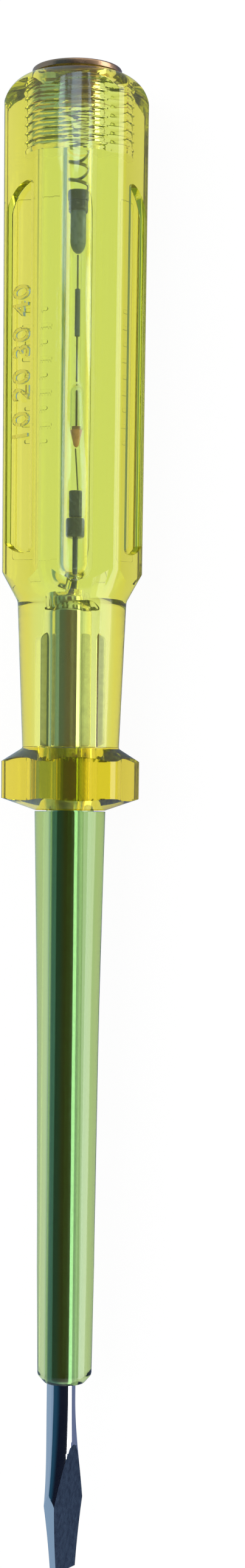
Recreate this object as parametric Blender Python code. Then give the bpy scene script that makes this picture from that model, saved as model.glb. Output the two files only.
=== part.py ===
"""Neon voltage tester in the form of a slotted screwdriver.

A clear hexagonal handle holds a resistor, a neon lamp and their contacts in
its bore, between the steel blade below and a spring under the screwed cap.
The tool lies along Y on one flat of its handle, tip at -Y and cap at +Y.
All lengths are in metres. Stations are measured from the tip of the blade.
"""

import math

import bmesh
import bpy
from mathutils import Matrix, Vector

# Lengths along the tool, from the tip to the cap
FORGED_LENGTH = 0.0215
SHANK_SHOWN_LENGTH = 0.0022
SHEATH_LENGTH = 0.0721
GUARD_LOWER_CONE_LENGTH = 0.0015
GUARD_FACE_LENGTH = 0.0046
GUARD_UPPER_CONE_LENGTH = 0.0017
NECK_LENGTH = 0.0185
FLARE_LENGTH = 0.0037
GRIP_LENGTH = 0.0581
SHOULDER_RADIUS = 0.0044
CAP_HEAD_HEIGHT = 0.0015

# Handle: a tapering hexagonal bar, turned to a neck, a guard and a shoulder
GRIP_TOP_ACROSS_FLATS = 0.01660
GUARD_ACROSS_FLATS = 0.01584
HEXAGON_CORNER_RADIUS = 0.0024
TURNING_ALLOWANCE = 0.0001
NECK_TOP_RADIUS = 0.00687
NECK_BOTTOM_RADIUS = 0.00610
FLARE_FILLET_RADIUS = 0.0015
HANDLE_LAND_RADIUS = 0.0057

# Recessed panels on three of the six flats: two at the sides and one below
PANEL_DEPTH = 0.0003
PANEL_TO_SHOULDER = 0.0100
PANEL_TO_FLARE = 0.0019
LOWER_PANEL_WIDTH = 0.0052
LOWER_PANEL_CORNER_RADIUS = 0.0004
SIDE_PANEL_FRONT_REACH = 0.0018
SIDE_PANEL_BACK_REACH = 0.0035
SIDE_PANEL_TOP_CORNER_RADIUS = 0.0006
SIDE_PANEL_FOOT_CORNER_RADIUS = 0.0009
SIDE_PANEL_TOP_SWEEP = 0.0033
SIDE_PANEL_FOOT_SWEEP = 0.0015

# Inside of the handle
THREAD_RADIUS = 0.0042
THREAD_DEPTH = 0.01015
MOUTH_CHAMFER = 0.0004
CARTRIDGE_BORE_TOP_RADIUS = 0.00235
CARTRIDGE_BORE_BOTTOM_RADIUS = 0.00225
BORE_FLOOR_ABOVE_NECK = 0.0024
CONTACT_HOLE_RADIUS = 0.0007
WEB_THICKNESS = 0.0005
NECK_BORE_RADIUS = 0.00250
NECK_BORE_DROP = 0.0015

# Insulating sheath on the shank
SHEATH_TOP_RADIUS = 0.00447
SHEATH_WAIST_RADIUS = 0.00397
SHEATH_WAIST_DROP = 0.0238
SHEATH_KNEE_RADIUS = 0.00366
SHEATH_KNEE_DROP = 0.0515
SHEATH_BOTTOM_RADIUS = 0.00343
SHEATH_END_CHAMFER = 0.0010
SHEATH_MOUTH_RADIUS = 0.00265
SPIGOT_RADIUS = 0.00300
SPIGOT_LENGTH = 0.0075
SHEATH_BORE_RADIUS = 0.00212
SHEATH_BORE_OFFSET = 0.00025

# Steel blade
SHANK_RADIUS = 0.00181
SHANK_OFFSET = 0.0004
SHANK_END_ROUNDING = 0.0006
FORGED_HALF_WIDTH = 0.00355
GROUND_SIDE_LENGTH = 0.0085
GROUND_HALF_WIDTH = 0.00318
TIP_HALF_WIDTH = 0.00214
TIP_HALF_THICKNESS = 0.00044
GROUND_FLAT_LENGTH = 0.0172
EAR_WIDTH = 0.00574
EAR_THICKNESS = 0.0012
EAR_LENGTH = 0.0142
EAR_CORNER_RADIUS = 0.0010

# Contact cap
CAP_RIM_RADIUS = 0.00568
CAP_DOME_HEIGHT = 0.0005
CAP_EDGE_RADIUS = 0.00035
CAP_SHANK_LENGTH = 0.0046
CAP_THREAD_CLEARANCE = 0.0002
CAP_SHANK_CHAMFER = 0.0003
CAP_WELL_RADIUS = 0.0026
CAP_CROWN_THICKNESS = 0.0013

# Contact spring
SPRING_WIRE_DIAMETER = 0.0004
SPRING_COIL_RADIUS = 0.00184
SPRING_TURNS = 6.5

# Resistor with its end cap and lead
RESISTOR_CAP_FLANGE_RADIUS = 0.0020
RESISTOR_CAP_FLANGE_HEIGHT = 0.0013
RESISTOR_CAP_SKIRT_LENGTH = 0.0013
RESISTOR_CAP_SKIRT_WALL = 0.0002
RESISTOR_RADIUS = 0.00150
RESISTOR_LENGTH = 0.0063
RESISTOR_CAP_TO_THREAD = 0.0047
RESISTOR_LEAD_RADIUS = 0.0002
LEAD_SLEEVE_RADIUS = 0.0005
LEAD_SLEEVE_SHARES = (0.36, 0.73)

# Neon lamp
LAMP_RADIUS = 0.0013
LAMP_GLASS_LENGTH = 0.0058
LAMP_GLASS_WALL = 0.0003
LAMP_SEAL_LENGTH = 0.0021
LAMP_SEAL_TIP_RADIUS = 0.0006
ELECTRODE_RADIUS = 0.0002
ELECTRODE_LENGTH = 0.0044
ELECTRODE_OFFSET = 0.00035
LAMP_LEAD_RADIUS = 0.00017
LAMP_LEAD_LENGTH = 0.0052
LAMP_LEAD_TOP_OFFSET = -0.0001
LAMP_LEAD_FOOT_OFFSET = 0.0004

# Lower contact
CONTACT_SLEEVE_RADIUS = 0.00125
CONTACT_SLEEVE_LENGTH = 0.0033
CONTACT_BASE_RADIUS = 0.00177
CONTACT_BASE_HEIGHT = 0.0024
CONTACT_STEM_RADIUS = 0.0005
CONTACT_STEM_LENGTH = 0.0060
SMALL_EDGE_RADIUS = 0.0003

# Clearances between pieces
SEAT_GAP = 0.0003
FINE_GAP = 0.00015
OVERRUN = 0.0010
MERGE_DISTANCE = 0.0000001

# How the pieces are turned about the tool's axis, in degrees
BLADE_TURN_DEG = 49.5
EAR_TURN_DEG = 0.0
SIDE_PANEL_TURN_DEG = 60.0
LOWER_PANEL_TURN_DEG = 180.0
SMOOTH_ANGLE_DEG = 30.0

# How fast the forged end spreads: 1 would be a straight taper
FORGED_SPREAD_POWER = 1.6

# Facets
HANDLE_STEPS = 56
BORE_STEPS = 40
ROUND_STEPS = 24
WIRE_STEPS = 10
ARC_STEPS = 6
CORNER_STEPS = 3
HEXAGON_CORNER_STEPS = 6
GRIND_STEPS = 10
SPRING_POINTS_PER_TURN = 10

# Stations worked out from the lengths above
SHEATH_END = FORGED_LENGTH + SHANK_SHOWN_LENGTH
GUARD_BOTTOM = SHEATH_END + SHEATH_LENGTH
GUARD_FACE_BOTTOM = GUARD_BOTTOM + GUARD_LOWER_CONE_LENGTH
GUARD_FACE_TOP = GUARD_FACE_BOTTOM + GUARD_FACE_LENGTH
NECK_BOTTOM = GUARD_FACE_TOP + GUARD_UPPER_CONE_LENGTH
NECK_TOP = NECK_BOTTOM + NECK_LENGTH
GRIP_BOTTOM = NECK_TOP + FLARE_LENGTH
SHOULDER_START = GRIP_BOTTOM + GRIP_LENGTH

# The bar's flats lie on one plane from the guard to the shoulder
GUARD_MIDDLE = (GUARD_FACE_BOTTOM + GUARD_FACE_TOP) / 2
BAR_SLOPE = (GRIP_TOP_ACROSS_FLATS - GUARD_ACROSS_FLATS) / 2 / (SHOULDER_START - GUARD_MIDDLE)
HALF_HEXAGON_ANGLE = math.radians(30)
CORNER_CUT = HEXAGON_CORNER_RADIUS / math.cos(HALF_HEXAGON_ANGLE) - HEXAGON_CORNER_RADIUS
SHOULDER_TOP_CORNER = GRIP_TOP_ACROSS_FLATS / 2 / math.cos(HALF_HEXAGON_ANGLE) - CORNER_CUT
SHOULDER_TOP_RADIUS = SHOULDER_TOP_CORNER + TURNING_ALLOWANCE
SHOULDER_SWEEP = math.acos(1 - (SHOULDER_TOP_RADIUS - HANDLE_LAND_RADIUS) / SHOULDER_RADIUS)
LAND = SHOULDER_START + SHOULDER_RADIUS * math.sin(SHOULDER_SWEEP)
OVERALL_LENGTH = LAND + CAP_HEAD_HEIGHT
PANEL_TOP = SHOULDER_START - PANEL_TO_SHOULDER
PANEL_FOOT = GRIP_BOTTOM + PANEL_TO_FLARE

# Stations of the bores and of the blade's upper end
THREAD_FLOOR = LAND - THREAD_DEPTH
CARTRIDGE_BORE_FLOOR = NECK_TOP + BORE_FLOOR_ABOVE_NECK
SHANK_HOLE_TOP = CARTRIDGE_BORE_FLOOR - WEB_THICKNESS
SHANK_TOP = SHANK_HOLE_TOP - FINE_GAP
SHANK_HOLE_RADIUS = SHANK_RADIUS + FINE_GAP
NECK_BORE_TOP = CARTRIDGE_BORE_FLOOR - NECK_BORE_DROP
SPIGOT_TOP = GUARD_BOTTOM + SPIGOT_LENGTH
EAR_BOTTOM = SPIGOT_TOP + 2 * SEAT_GAP
EAR_TOP = EAR_BOTTOM + EAR_LENGTH

# The lower contact and the lamp stand on the blade
CONTACT_STEM_BOTTOM = SHANK_TOP + FINE_GAP
CONTACT_BASE_BOTTOM = CONTACT_STEM_BOTTOM + CONTACT_STEM_LENGTH
CONTACT_BASE_TOP = CONTACT_BASE_BOTTOM + CONTACT_BASE_HEIGHT
CONTACT_SLEEVE_BOTTOM = CONTACT_BASE_TOP + FINE_GAP
CONTACT_SLEEVE_TOP = CONTACT_SLEEVE_BOTTOM + CONTACT_SLEEVE_LENGTH
LAMP_LEAD_BOTTOM = CONTACT_SLEEVE_TOP + FINE_GAP
LAMP_LEAD_TOP = LAMP_LEAD_BOTTOM + LAMP_LEAD_LENGTH
LAMP_SEAL_BOTTOM = LAMP_LEAD_TOP + FINE_GAP
LAMP_SEAL_STEP = LAMP_SEAL_BOTTOM + LAMP_SEAL_LENGTH
LAMP_GLASS_BOTTOM = LAMP_SEAL_STEP + FINE_GAP
LAMP_SEAL_TOP = LAMP_GLASS_BOTTOM + LAMP_GLASS_WALL
LAMP_TOP = LAMP_GLASS_BOTTOM + LAMP_GLASS_LENGTH

# The resistor hangs from its cap below the thread, and its lead spans to the lamp
RESISTOR_CAP_TOP = THREAD_FLOOR - RESISTOR_CAP_TO_THREAD
RESISTOR_CAP_SHOULDER = RESISTOR_CAP_TOP - RESISTOR_CAP_FLANGE_HEIGHT
RESISTOR_TOP = RESISTOR_CAP_SHOULDER - FINE_GAP
RESISTOR_BOTTOM = RESISTOR_TOP - RESISTOR_LENGTH
RESISTOR_LEAD_BOTTOM = LAMP_TOP + FINE_GAP
RESISTOR_LEAD_TOP = RESISTOR_BOTTOM - FINE_GAP
CAP_UNDERSIDE = LAND + FINE_GAP
CAP_SHANK_END = LAND - CAP_SHANK_LENGTH
CAP_WELL_TOP = OVERALL_LENGTH - CAP_CROWN_THICKNESS


def flat_distance(station):
    """Distance of the hexagonal bar's flats from the axis at a station."""
    return GUARD_ACROSS_FLATS / 2 + BAR_SLOPE * (station - GUARD_MIDDLE)


def corner_distance(station):
    """Distance of the bar's rounded corners from the axis at a station."""
    return flat_distance(station) / math.cos(HALF_HEXAGON_ANGLE) - CORNER_CUT


def flat_end():
    """Where the rounded shoulder cuts a flat, as (station, distance from the axis)."""
    centre = Vector((SHOULDER_START, SHOULDER_TOP_RADIUS - SHOULDER_RADIUS))
    along = Vector((1, BAR_SLOPE)).normalized()
    start = Vector((SHOULDER_START, flat_distance(SHOULDER_START)))
    nearest = start + along * (centre - start).dot(along)
    return nearest + along * math.sqrt(SHOULDER_RADIUS ** 2 - (nearest - centre).length_squared)


# The lowest point of the handle touches the table
AXIS_HEIGHT = flat_end()[1]


def arc(centre, radius, start_deg, end_deg, steps):
    """Points (station, radius) on an arc; 0 degrees points along the tool, 90 outwards."""
    points = []
    for step in range(steps + 1):
        angle = math.radians(start_deg + (end_deg - start_deg) * step / steps)
        points.append((centre[0] + radius * math.cos(angle), centre[1] + radius * math.sin(angle)))
    return points


def carried_on(first, second, radius):
    """The point where the straight line through two profile points reaches a radius."""
    slope = (second[0] - first[0]) / (second[1] - first[1])
    return (first[0] + slope * (radius - first[1]), radius)


def finish_mesh(bm, name, smooth_angle=SMOOTH_ANGLE_DEG):
    """Turn a bmesh into an object whose faces point outwards and whose round sides are smooth."""
    bmesh.ops.remove_doubles(bm, verts=bm.verts, dist=MERGE_DISTANCE)
    bmesh.ops.dissolve_degenerate(bm, dist=MERGE_DISTANCE, edges=bm.edges)
    bmesh.ops.recalc_face_normals(bm, faces=bm.faces)
    mesh = bpy.data.meshes.new(name)
    bm.to_mesh(mesh)
    bm.free()
    mesh.shade_smooth()
    mesh.set_sharp_from_angle(angle=math.radians(smooth_angle))
    piece = bpy.data.objects.new(name, mesh)
    bpy.context.scene.collection.objects.link(piece)
    return piece


def turned(name, profile, steps, shift=(0, 0, 0)):
    """Revolve a profile of (station, radius) points round the axis, then shift it sideways."""
    bm = bmesh.new()
    verts = [bm.verts.new((radius, station, 0)) for station, radius in profile]
    edges = [bm.edges.new(pair) for pair in zip(verts, verts[1:])]
    if profile[0][1] > 0 or profile[-1][1] > 0:
        edges.append(bm.edges.new((verts[-1], verts[0])))
    bmesh.ops.spin(
        bm,
        geom=verts + edges,
        cent=(0, 0, 0),
        axis=(0, 1, 0),
        angle=math.tau,
        steps=steps,
        use_merge=True,
        use_duplicate=False,
    )
    bmesh.ops.translate(bm, verts=bm.verts, vec=shift)
    return finish_mesh(bm, name)


def prism(name, outline, to_point, low, high):
    """Extrude a closed outline between two depths; to_point(u, v, depth) places each corner."""
    bm = bmesh.new()
    lower = [bm.verts.new(to_point(u, v, low)) for u, v in outline]
    upper = [bm.verts.new(to_point(u, v, high)) for u, v in outline]
    bm.faces.new(lower)
    bm.faces.new(upper)
    for index in range(len(outline)):
        following = (index + 1) % len(outline)
        bm.faces.new((lower[index], lower[following], upper[following], upper[index]))
    return finish_mesh(bm, name)


def turn_about_axis(piece, degrees):
    """Turn a piece's mesh about the tool's axis; the turn goes from up towards +X."""
    piece.data.transform(Matrix.Rotation(math.radians(degrees), 4, "Y"))


def as_cutter(piece):
    """Mark a shape as a guide that is left out of the finished model."""
    piece.hide_render = True
    piece.display_type = "WIRE"
    return piece


def combine(piece, operation, other, name):
    """Add a Boolean modifier that joins, cuts or trims a piece."""
    modifier = piece.modifiers.new(name, "BOOLEAN")
    modifier.operation = operation
    modifier.solver = "EXACT"
    modifier.object = as_cutter(other)


def rounded_hexagon(across_flats):
    """Corner points (x, z) of a hexagon with flats above and below and softened corners."""
    corner_centre = across_flats / 2 / math.cos(HALF_HEXAGON_ANGLE)
    corner_centre -= HEXAGON_CORNER_RADIUS / math.cos(HALF_HEXAGON_ANGLE)
    points = []
    for corner in range(6):
        middle = math.radians(30 + 60 * corner)
        for step in range(HEXAGON_CORNER_STEPS + 1):
            angle = middle + HALF_HEXAGON_ANGLE * (2 * step / HEXAGON_CORNER_STEPS - 1)
            x = corner_centre * math.sin(middle) + HEXAGON_CORNER_RADIUS * math.sin(angle)
            z = corner_centre * math.cos(middle) + HEXAGON_CORNER_RADIUS * math.cos(angle)
            points.append((x, z))
    return points


def hexagonal_bar(name):
    """The tapering bar that the handle is turned from, longer than the handle at both ends."""
    bm = bmesh.new()
    rings = []
    for station in (GUARD_BOTTOM - OVERRUN, LAND + OVERRUN):
        outline = rounded_hexagon(2 * flat_distance(station))
        rings.append([bm.verts.new((x, station, z)) for x, z in outline])
    count = len(rings[0])
    for index in range(count):
        following = (index + 1) % count
        bm.faces.new((rings[0][index], rings[0][following], rings[1][following], rings[1][index]))
    bm.faces.new(rings[0])
    bm.faces.new(rings[1])
    return finish_mesh(bm, name)


def handle_outline():
    """Turned profile of the handle: guard, neck, flare, grip and rounded shoulder."""
    widest = SHOULDER_TOP_RADIUS
    guard_corner = corner_distance(GUARD_MIDDLE)
    grip_corner = corner_distance(GRIP_BOTTOM)
    lower_rim = (GUARD_BOTTOM, SHEATH_TOP_RADIUS)
    lower_corner = (GUARD_FACE_BOTTOM, guard_corner)
    upper_corner = (GUARD_FACE_TOP, guard_corner)
    neck_foot = (NECK_BOTTOM, NECK_BOTTOM_RADIUS)
    neck_head = (NECK_TOP, NECK_TOP_RADIUS)
    flare_corner = (GRIP_BOTTOM, grip_corner)
    profile = [(GUARD_BOTTOM, 0), lower_rim, carried_on(lower_rim, lower_corner, widest)]
    profile += [carried_on(neck_foot, upper_corner, widest), neck_foot]
    profile += rounded_corner(neck_foot, neck_head, flare_corner, FLARE_FILLET_RADIUS)
    profile += [carried_on(neck_head, flare_corner, widest)]
    shoulder_centre = (SHOULDER_START, widest - SHOULDER_RADIUS)
    sweep_deg = math.degrees(SHOULDER_SWEEP)
    profile += arc(shoulder_centre, SHOULDER_RADIUS, 90, 90 - sweep_deg, ARC_STEPS)
    profile += [(LAND, 0)]
    return profile


def rounded_corner(before, corner, after, radius):
    """Replace a corner of a profile by an arc that touches both of its sides."""
    here = Vector(corner)
    back = (Vector(before) - here).normalized()
    ahead = (Vector(after) - here).normalized()
    half = back.angle(ahead) / 2
    reach = radius / math.tan(half)
    centre = here + (back + ahead).normalized() * radius / math.sin(half)
    start = here + back * reach - centre
    end = here + ahead * reach - centre
    points = []
    for step in range(CORNER_STEPS + 1):
        spoke = start.lerp(end, step / CORNER_STEPS).normalized() * radius
        points.append(tuple(centre + spoke))
    return points


def bore_outline():
    """Turned profile of everything that is hollow along the handle's axis."""
    socket_radius = SPIGOT_RADIUS + FINE_GAP
    well_radius = CARTRIDGE_BORE_BOTTOM_RADIUS
    well_centre = (CARTRIDGE_BORE_FLOOR + well_radius, 0)
    well_hole_deg = math.degrees(math.asin(CONTACT_HOLE_RADIUS / well_radius))
    dome_centre = (NECK_BORE_TOP - NECK_BORE_RADIUS, 0)
    dome_hole_deg = math.degrees(math.asin(CONTACT_HOLE_RADIUS / NECK_BORE_RADIUS))
    mouth = (LAND - MOUTH_CHAMFER, THREAD_RADIUS)
    mouth_edge = (LAND, THREAD_RADIUS + MOUTH_CHAMFER)
    profile = [(GUARD_BOTTOM - OVERRUN, 0), (GUARD_BOTTOM - OVERRUN, socket_radius)]
    profile += [(SPIGOT_TOP + SEAT_GAP, socket_radius), (SPIGOT_TOP + SEAT_GAP, NECK_BORE_RADIUS)]
    profile += arc(dome_centre, NECK_BORE_RADIUS, 90, dome_hole_deg, ARC_STEPS)
    profile += arc(well_centre, well_radius, 180 - well_hole_deg, 90, ARC_STEPS)
    profile += [(THREAD_FLOOR, CARTRIDGE_BORE_TOP_RADIUS), (THREAD_FLOOR, THREAD_RADIUS)]
    profile += [mouth, carried_on(mouth, mouth_edge, THREAD_RADIUS + MOUTH_CHAMFER + OVERRUN)]
    profile += [(profile[-1][0], 0)]
    return profile


def shank_hole_cutter():
    """The blind hole above the neck bore that holds the end of the shank."""
    low = NECK_BORE_TOP - NECK_BORE_RADIUS
    profile = [(low, 0), (low, SHANK_HOLE_RADIUS)]
    profile += [(SHANK_HOLE_TOP, SHANK_HOLE_RADIUS), (SHANK_HOLE_TOP, 0)]
    return turned("shank_hole_cutter", profile, BORE_STEPS, (-SHANK_OFFSET, 0, 0))


def rounded_rectangle(half_width, bottom, top, corner):
    """A rectangle with softened corners, as (across, station) points."""
    points = []
    for side, centre, first_deg in (
        (1, top - corner, 0),
        (-1, top - corner, 90),
        (-1, bottom + corner, 180),
        (1, bottom + corner, 270),
    ):
        for step in range(CORNER_STEPS + 1):
            angle = math.radians(first_deg + 90 * step / CORNER_STEPS)
            across = side * (half_width - corner) + corner * math.cos(angle)
            points.append((across, centre + corner * math.sin(angle)))
    return points


def swept_end(corner_radius, sweep):
    """One end of a side panel, front edge to back edge, as (distance from the end, across) points."""
    start = corner_radius - SIDE_PANEL_FRONT_REACH
    reach = SIDE_PANEL_BACK_REACH - start
    radius = (reach ** 2 + sweep ** 2) / (2 * sweep)
    sweep_deg = 2 * math.degrees(math.atan2(sweep, reach))
    points = arc((corner_radius, start), corner_radius, 270, 180, CORNER_STEPS)
    points += arc((radius, start), radius, 180, 180 - sweep_deg, ARC_STEPS)[1:]
    return points


def side_panel_outline(side):
    """A side panel, nearly square in front and swept off behind, as (across, station) points."""
    top_end = swept_end(SIDE_PANEL_TOP_CORNER_RADIUS, SIDE_PANEL_TOP_SWEEP)
    foot_end = swept_end(SIDE_PANEL_FOOT_CORNER_RADIUS, SIDE_PANEL_FOOT_SWEEP)
    outline = [(side * across, PANEL_TOP - inset) for inset, across in top_end]
    outline += [(side * across, PANEL_FOOT + inset) for inset, across in reversed(foot_end)]
    return outline


def panel_cutter(name, outline, turn_deg):
    """A shallow recess that follows the taper of the flat it is cut in."""

    def to_point(across, station, depth):
        return (across, station, flat_distance(station) + depth)

    cutter = prism(name, outline, to_point, -PANEL_DEPTH, OVERRUN)
    turn_about_axis(cutter, turn_deg)
    return cutter


def panel_cutters():
    """The recesses of the two side panels and of the panel below."""
    cutters = []
    for side, name in ((-1, "left_panel_cutter"), (1, "right_panel_cutter")):
        cutters.append(panel_cutter(name, side_panel_outline(side), side * SIDE_PANEL_TURN_DEG))
    half_width = LOWER_PANEL_WIDTH / 2
    outline = rounded_rectangle(half_width, PANEL_FOOT, PANEL_TOP, LOWER_PANEL_CORNER_RADIUS)
    cutters.append(panel_cutter("lower_panel_cutter", outline, LOWER_PANEL_TURN_DEG))
    return cutters


def ear_plate(name, clearance, bottom):
    """The pair of flattened ears on the shank, or the slot in the handle that takes them."""
    half_width = EAR_WIDTH / 2 + clearance
    outline = rounded_rectangle(half_width, bottom, EAR_TOP + clearance, EAR_CORNER_RADIUS + clearance)

    def to_point(across, station, depth):
        return (across, station, depth)

    half_thickness = EAR_THICKNESS / 2 + clearance
    plate = prism(name, outline, to_point, -half_thickness, half_thickness)
    turn_about_axis(plate, EAR_TURN_DEG)
    return plate


def make_handle():
    """Clear moulded handle with its guard, panels, thread and bore."""
    handle = hexagonal_bar("handle")
    combine(handle, "INTERSECT", turned("handle_lathe", handle_outline(), HANDLE_STEPS), "turning")
    for cutter in panel_cutters():
        combine(handle, "DIFFERENCE", cutter, "panel")
    combine(handle, "DIFFERENCE", turned("bore_cutter", bore_outline(), BORE_STEPS), "bore")
    combine(handle, "DIFFERENCE", shank_hole_cutter(), "shank_hole")
    slot_bottom = SPIGOT_TOP - EAR_CORNER_RADIUS
    combine(handle, "DIFFERENCE", ear_plate("ear_slot", FINE_GAP, slot_bottom), "ear_slot")
    return handle


def make_sheath():
    """Clear insulating sleeve on the shank, with a spigot that seats in the guard."""
    top = GUARD_BOTTOM - FINE_GAP
    profile = [(SHEATH_END, 0), (SHEATH_END, SHEATH_MOUTH_RADIUS)]
    profile += [(SHEATH_END + SHEATH_END_CHAMFER, SHEATH_BOTTOM_RADIUS)]
    profile += [(GUARD_BOTTOM - SHEATH_KNEE_DROP, SHEATH_KNEE_RADIUS)]
    profile += [(GUARD_BOTTOM - SHEATH_WAIST_DROP, SHEATH_WAIST_RADIUS)]
    profile += [(top, SHEATH_TOP_RADIUS), (top, SPIGOT_RADIUS), (SPIGOT_TOP, SPIGOT_RADIUS)]
    profile += [(SPIGOT_TOP, 0)]
    sheath = turned("blade_sheath", profile, BORE_STEPS)
    low = SHEATH_END - OVERRUN
    high = SPIGOT_TOP + OVERRUN
    bore = [(low, 0), (low, SHEATH_BORE_RADIUS), (high, SHEATH_BORE_RADIUS), (high, 0)]
    cutter = turned("sheath_bore_cutter", bore, BORE_STEPS, (-SHEATH_BORE_OFFSET, 0, 0))
    combine(sheath, "DIFFERENCE", cutter, "bore")
    return sheath


def forged_share(station):
    """How far the forging has spread at a station: 0 on the shank, 1 where the side grinds start."""
    return max(FORGED_LENGTH - station, 0) / (FORGED_LENGTH - GROUND_SIDE_LENGTH)


def forged_half_width(station):
    """Half width of the forged end, which spreads ever faster towards the tip."""
    spread = forged_share(station) ** FORGED_SPREAD_POWER
    return SHANK_RADIUS + (FORGED_HALF_WIDTH - SHANK_RADIUS) * spread


def shank_shift(station):
    """Sideways shift of the shank, which comes back to the axis along the forged end."""
    share = min(forged_share(station), 1)
    return -SHANK_OFFSET * (1 - share * share * (3 - 2 * share))


def blade_blank():
    """Round shank whose end is forged into a wide oval."""
    sections = []
    for step in range(GRIND_STEPS + 1):
        station = FORGED_LENGTH * step / GRIND_STEPS
        sections.append((station, forged_half_width(station), SHANK_RADIUS))
    sections.append((SHANK_TOP - SHANK_END_ROUNDING, SHANK_RADIUS, SHANK_RADIUS))
    end_radius = SHANK_RADIUS - SHANK_END_ROUNDING
    sections.append((SHANK_TOP, end_radius, end_radius))
    turn = Matrix.Rotation(math.radians(BLADE_TURN_DEG), 3, "Y")
    bm = bmesh.new()
    rings = []
    for station, half_width, half_thickness in sections:
        centre = Vector((shank_shift(station), station, 0))
        ring = []
        for step in range(ROUND_STEPS):
            angle = math.tau * step / ROUND_STEPS
            spoke = Vector((half_width * math.cos(angle), 0, half_thickness * math.sin(angle)))
            ring.append(bm.verts.new(centre + turn @ spoke))
        rings.append(ring)
    for lower, upper in zip(rings, rings[1:]):
        for index in range(ROUND_STEPS):
            following = (index + 1) % ROUND_STEPS
            bm.faces.new((lower[index], lower[following], upper[following], upper[index]))
    bm.faces.new(rings[0])
    bm.faces.new(rings[-1])
    return finish_mesh(bm, "blade")


def flat_grind():
    """Trimming shape for the two hollow-ground flats, thin at the tip and running out on the shank."""
    outside = SHANK_RADIUS + OVERRUN
    rise = (SHANK_RADIUS - TIP_HALF_THICKNESS) / GROUND_FLAT_LENGTH ** 2
    end = math.sqrt((outside - TIP_HALF_THICKNESS) / rise)
    side = [(TIP_HALF_THICKNESS, -OVERRUN)]
    for step in range(GRIND_STEPS + 1):
        station = end * step / GRIND_STEPS
        side.append((TIP_HALF_THICKNESS + rise * station ** 2, station))
    side.append((outside, SHANK_TOP + OVERRUN))
    outline = side + [(-thickness, station) for thickness, station in reversed(side)]

    def to_point(thickness, station, width):
        return (width, station, thickness)

    reach = forged_half_width(0) + OVERRUN
    return prism("flat_grind", outline, to_point, -reach, reach)


def side_grind():
    """Trimming shape for the two ground edges that taper to the tip."""
    slope = (GROUND_HALF_WIDTH - TIP_HALF_WIDTH) / GROUND_SIDE_LENGTH
    outside = forged_half_width(0) + OVERRUN
    end = (outside - TIP_HALF_WIDTH) / slope
    side = [(TIP_HALF_WIDTH - slope * OVERRUN, -OVERRUN), (outside, end)]
    side.append((outside, SHANK_TOP + OVERRUN))
    outline = side + [(-width, station) for width, station in reversed(side)]

    def to_point(width, station, thickness):
        return (width, station, thickness)

    reach = SHANK_RADIUS + OVERRUN
    return prism("side_grind", outline, to_point, -reach, reach)


def make_blade():
    """Steel blade: round shank, two swaged ears in the neck and a ground slotted tip."""
    blade = blade_blank()
    flats = flat_grind()
    sides = side_grind()
    for piece in (flats, sides):
        turn_about_axis(piece, BLADE_TURN_DEG)
    combine(blade, "INTERSECT", flats, "ground_flats")
    combine(blade, "INTERSECT", sides, "ground_sides")
    combine(blade, "UNION", ear_plate("ears", 0, EAR_BOTTOM), "ears")
    return blade


def make_contact_cap():
    """Screwed metal cap: domed head, plain rim and a hollow shank that holds the spring."""
    shank_radius = THREAD_RADIUS - CAP_THREAD_CLEARANCE
    rim_top = OVERALL_LENGTH - CAP_DOME_HEIGHT
    edge_centre = (rim_top - CAP_EDGE_RADIUS, CAP_RIM_RADIUS - CAP_EDGE_RADIUS)
    dome_foot = CAP_RIM_RADIUS - CAP_EDGE_RADIUS
    dome_radius = (dome_foot ** 2 + CAP_DOME_HEIGHT ** 2) / 2 / CAP_DOME_HEIGHT
    dome_centre = (OVERALL_LENGTH - dome_radius, 0)
    dome_deg = math.degrees(math.asin(dome_foot / dome_radius))
    profile = [(CAP_WELL_TOP, 0), (CAP_WELL_TOP, CAP_WELL_RADIUS)]
    profile += [(CAP_SHANK_END, CAP_WELL_RADIUS), (CAP_SHANK_END, shank_radius - CAP_SHANK_CHAMFER)]
    profile += [(CAP_SHANK_END + CAP_SHANK_CHAMFER, shank_radius), (CAP_UNDERSIDE, shank_radius)]
    profile += [(CAP_UNDERSIDE, CAP_RIM_RADIUS)]
    profile += arc(edge_centre, CAP_EDGE_RADIUS, 90, 0, CORNER_STEPS)[:-1]
    profile += arc(dome_centre, dome_radius, dome_deg, 0, ARC_STEPS)[:-1]
    profile += [(OVERALL_LENGTH, 0)]
    return turned("contact_cap", profile, BORE_STEPS)


def tube(name, points, radius, resolution):
    """A wire through the points, with filled ends."""
    curve = bpy.data.curves.new(name, "CURVE")
    curve.dimensions = "3D"
    curve.bevel_depth = radius
    curve.bevel_resolution = resolution
    curve.use_fill_caps = True
    spline = curve.splines.new("POLY")
    spline.points.add(len(points) - 1)
    for target, point in zip(spline.points, points):
        target.co = (*point, 1)
        target.radius = 1
    wire = bpy.data.objects.new(name, curve)
    bpy.context.scene.collection.objects.link(wire)
    return wire


def spring_points():
    """Centre line of the spring: a straight end, its turns, and a straight end."""
    foot = RESISTOR_CAP_TOP + FINE_GAP
    head = CAP_WELL_TOP - FINE_GAP
    low = foot + SPRING_WIRE_DIAMETER
    high = head - SPRING_WIRE_DIAMETER
    steps = round(SPRING_TURNS * SPRING_POINTS_PER_TURN)
    points = [Vector((SPRING_COIL_RADIUS, foot, 0))]
    for step in range(steps + 1):
        angle = math.tau * step / SPRING_POINTS_PER_TURN
        station = low + (high - low) * step / steps
        x = SPRING_COIL_RADIUS * math.cos(angle)
        z = SPRING_COIL_RADIUS * math.sin(angle)
        points.append(Vector((x, station, z)))
    points.append(Vector((points[-1].x, head, points[-1].z)))
    return points


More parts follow.
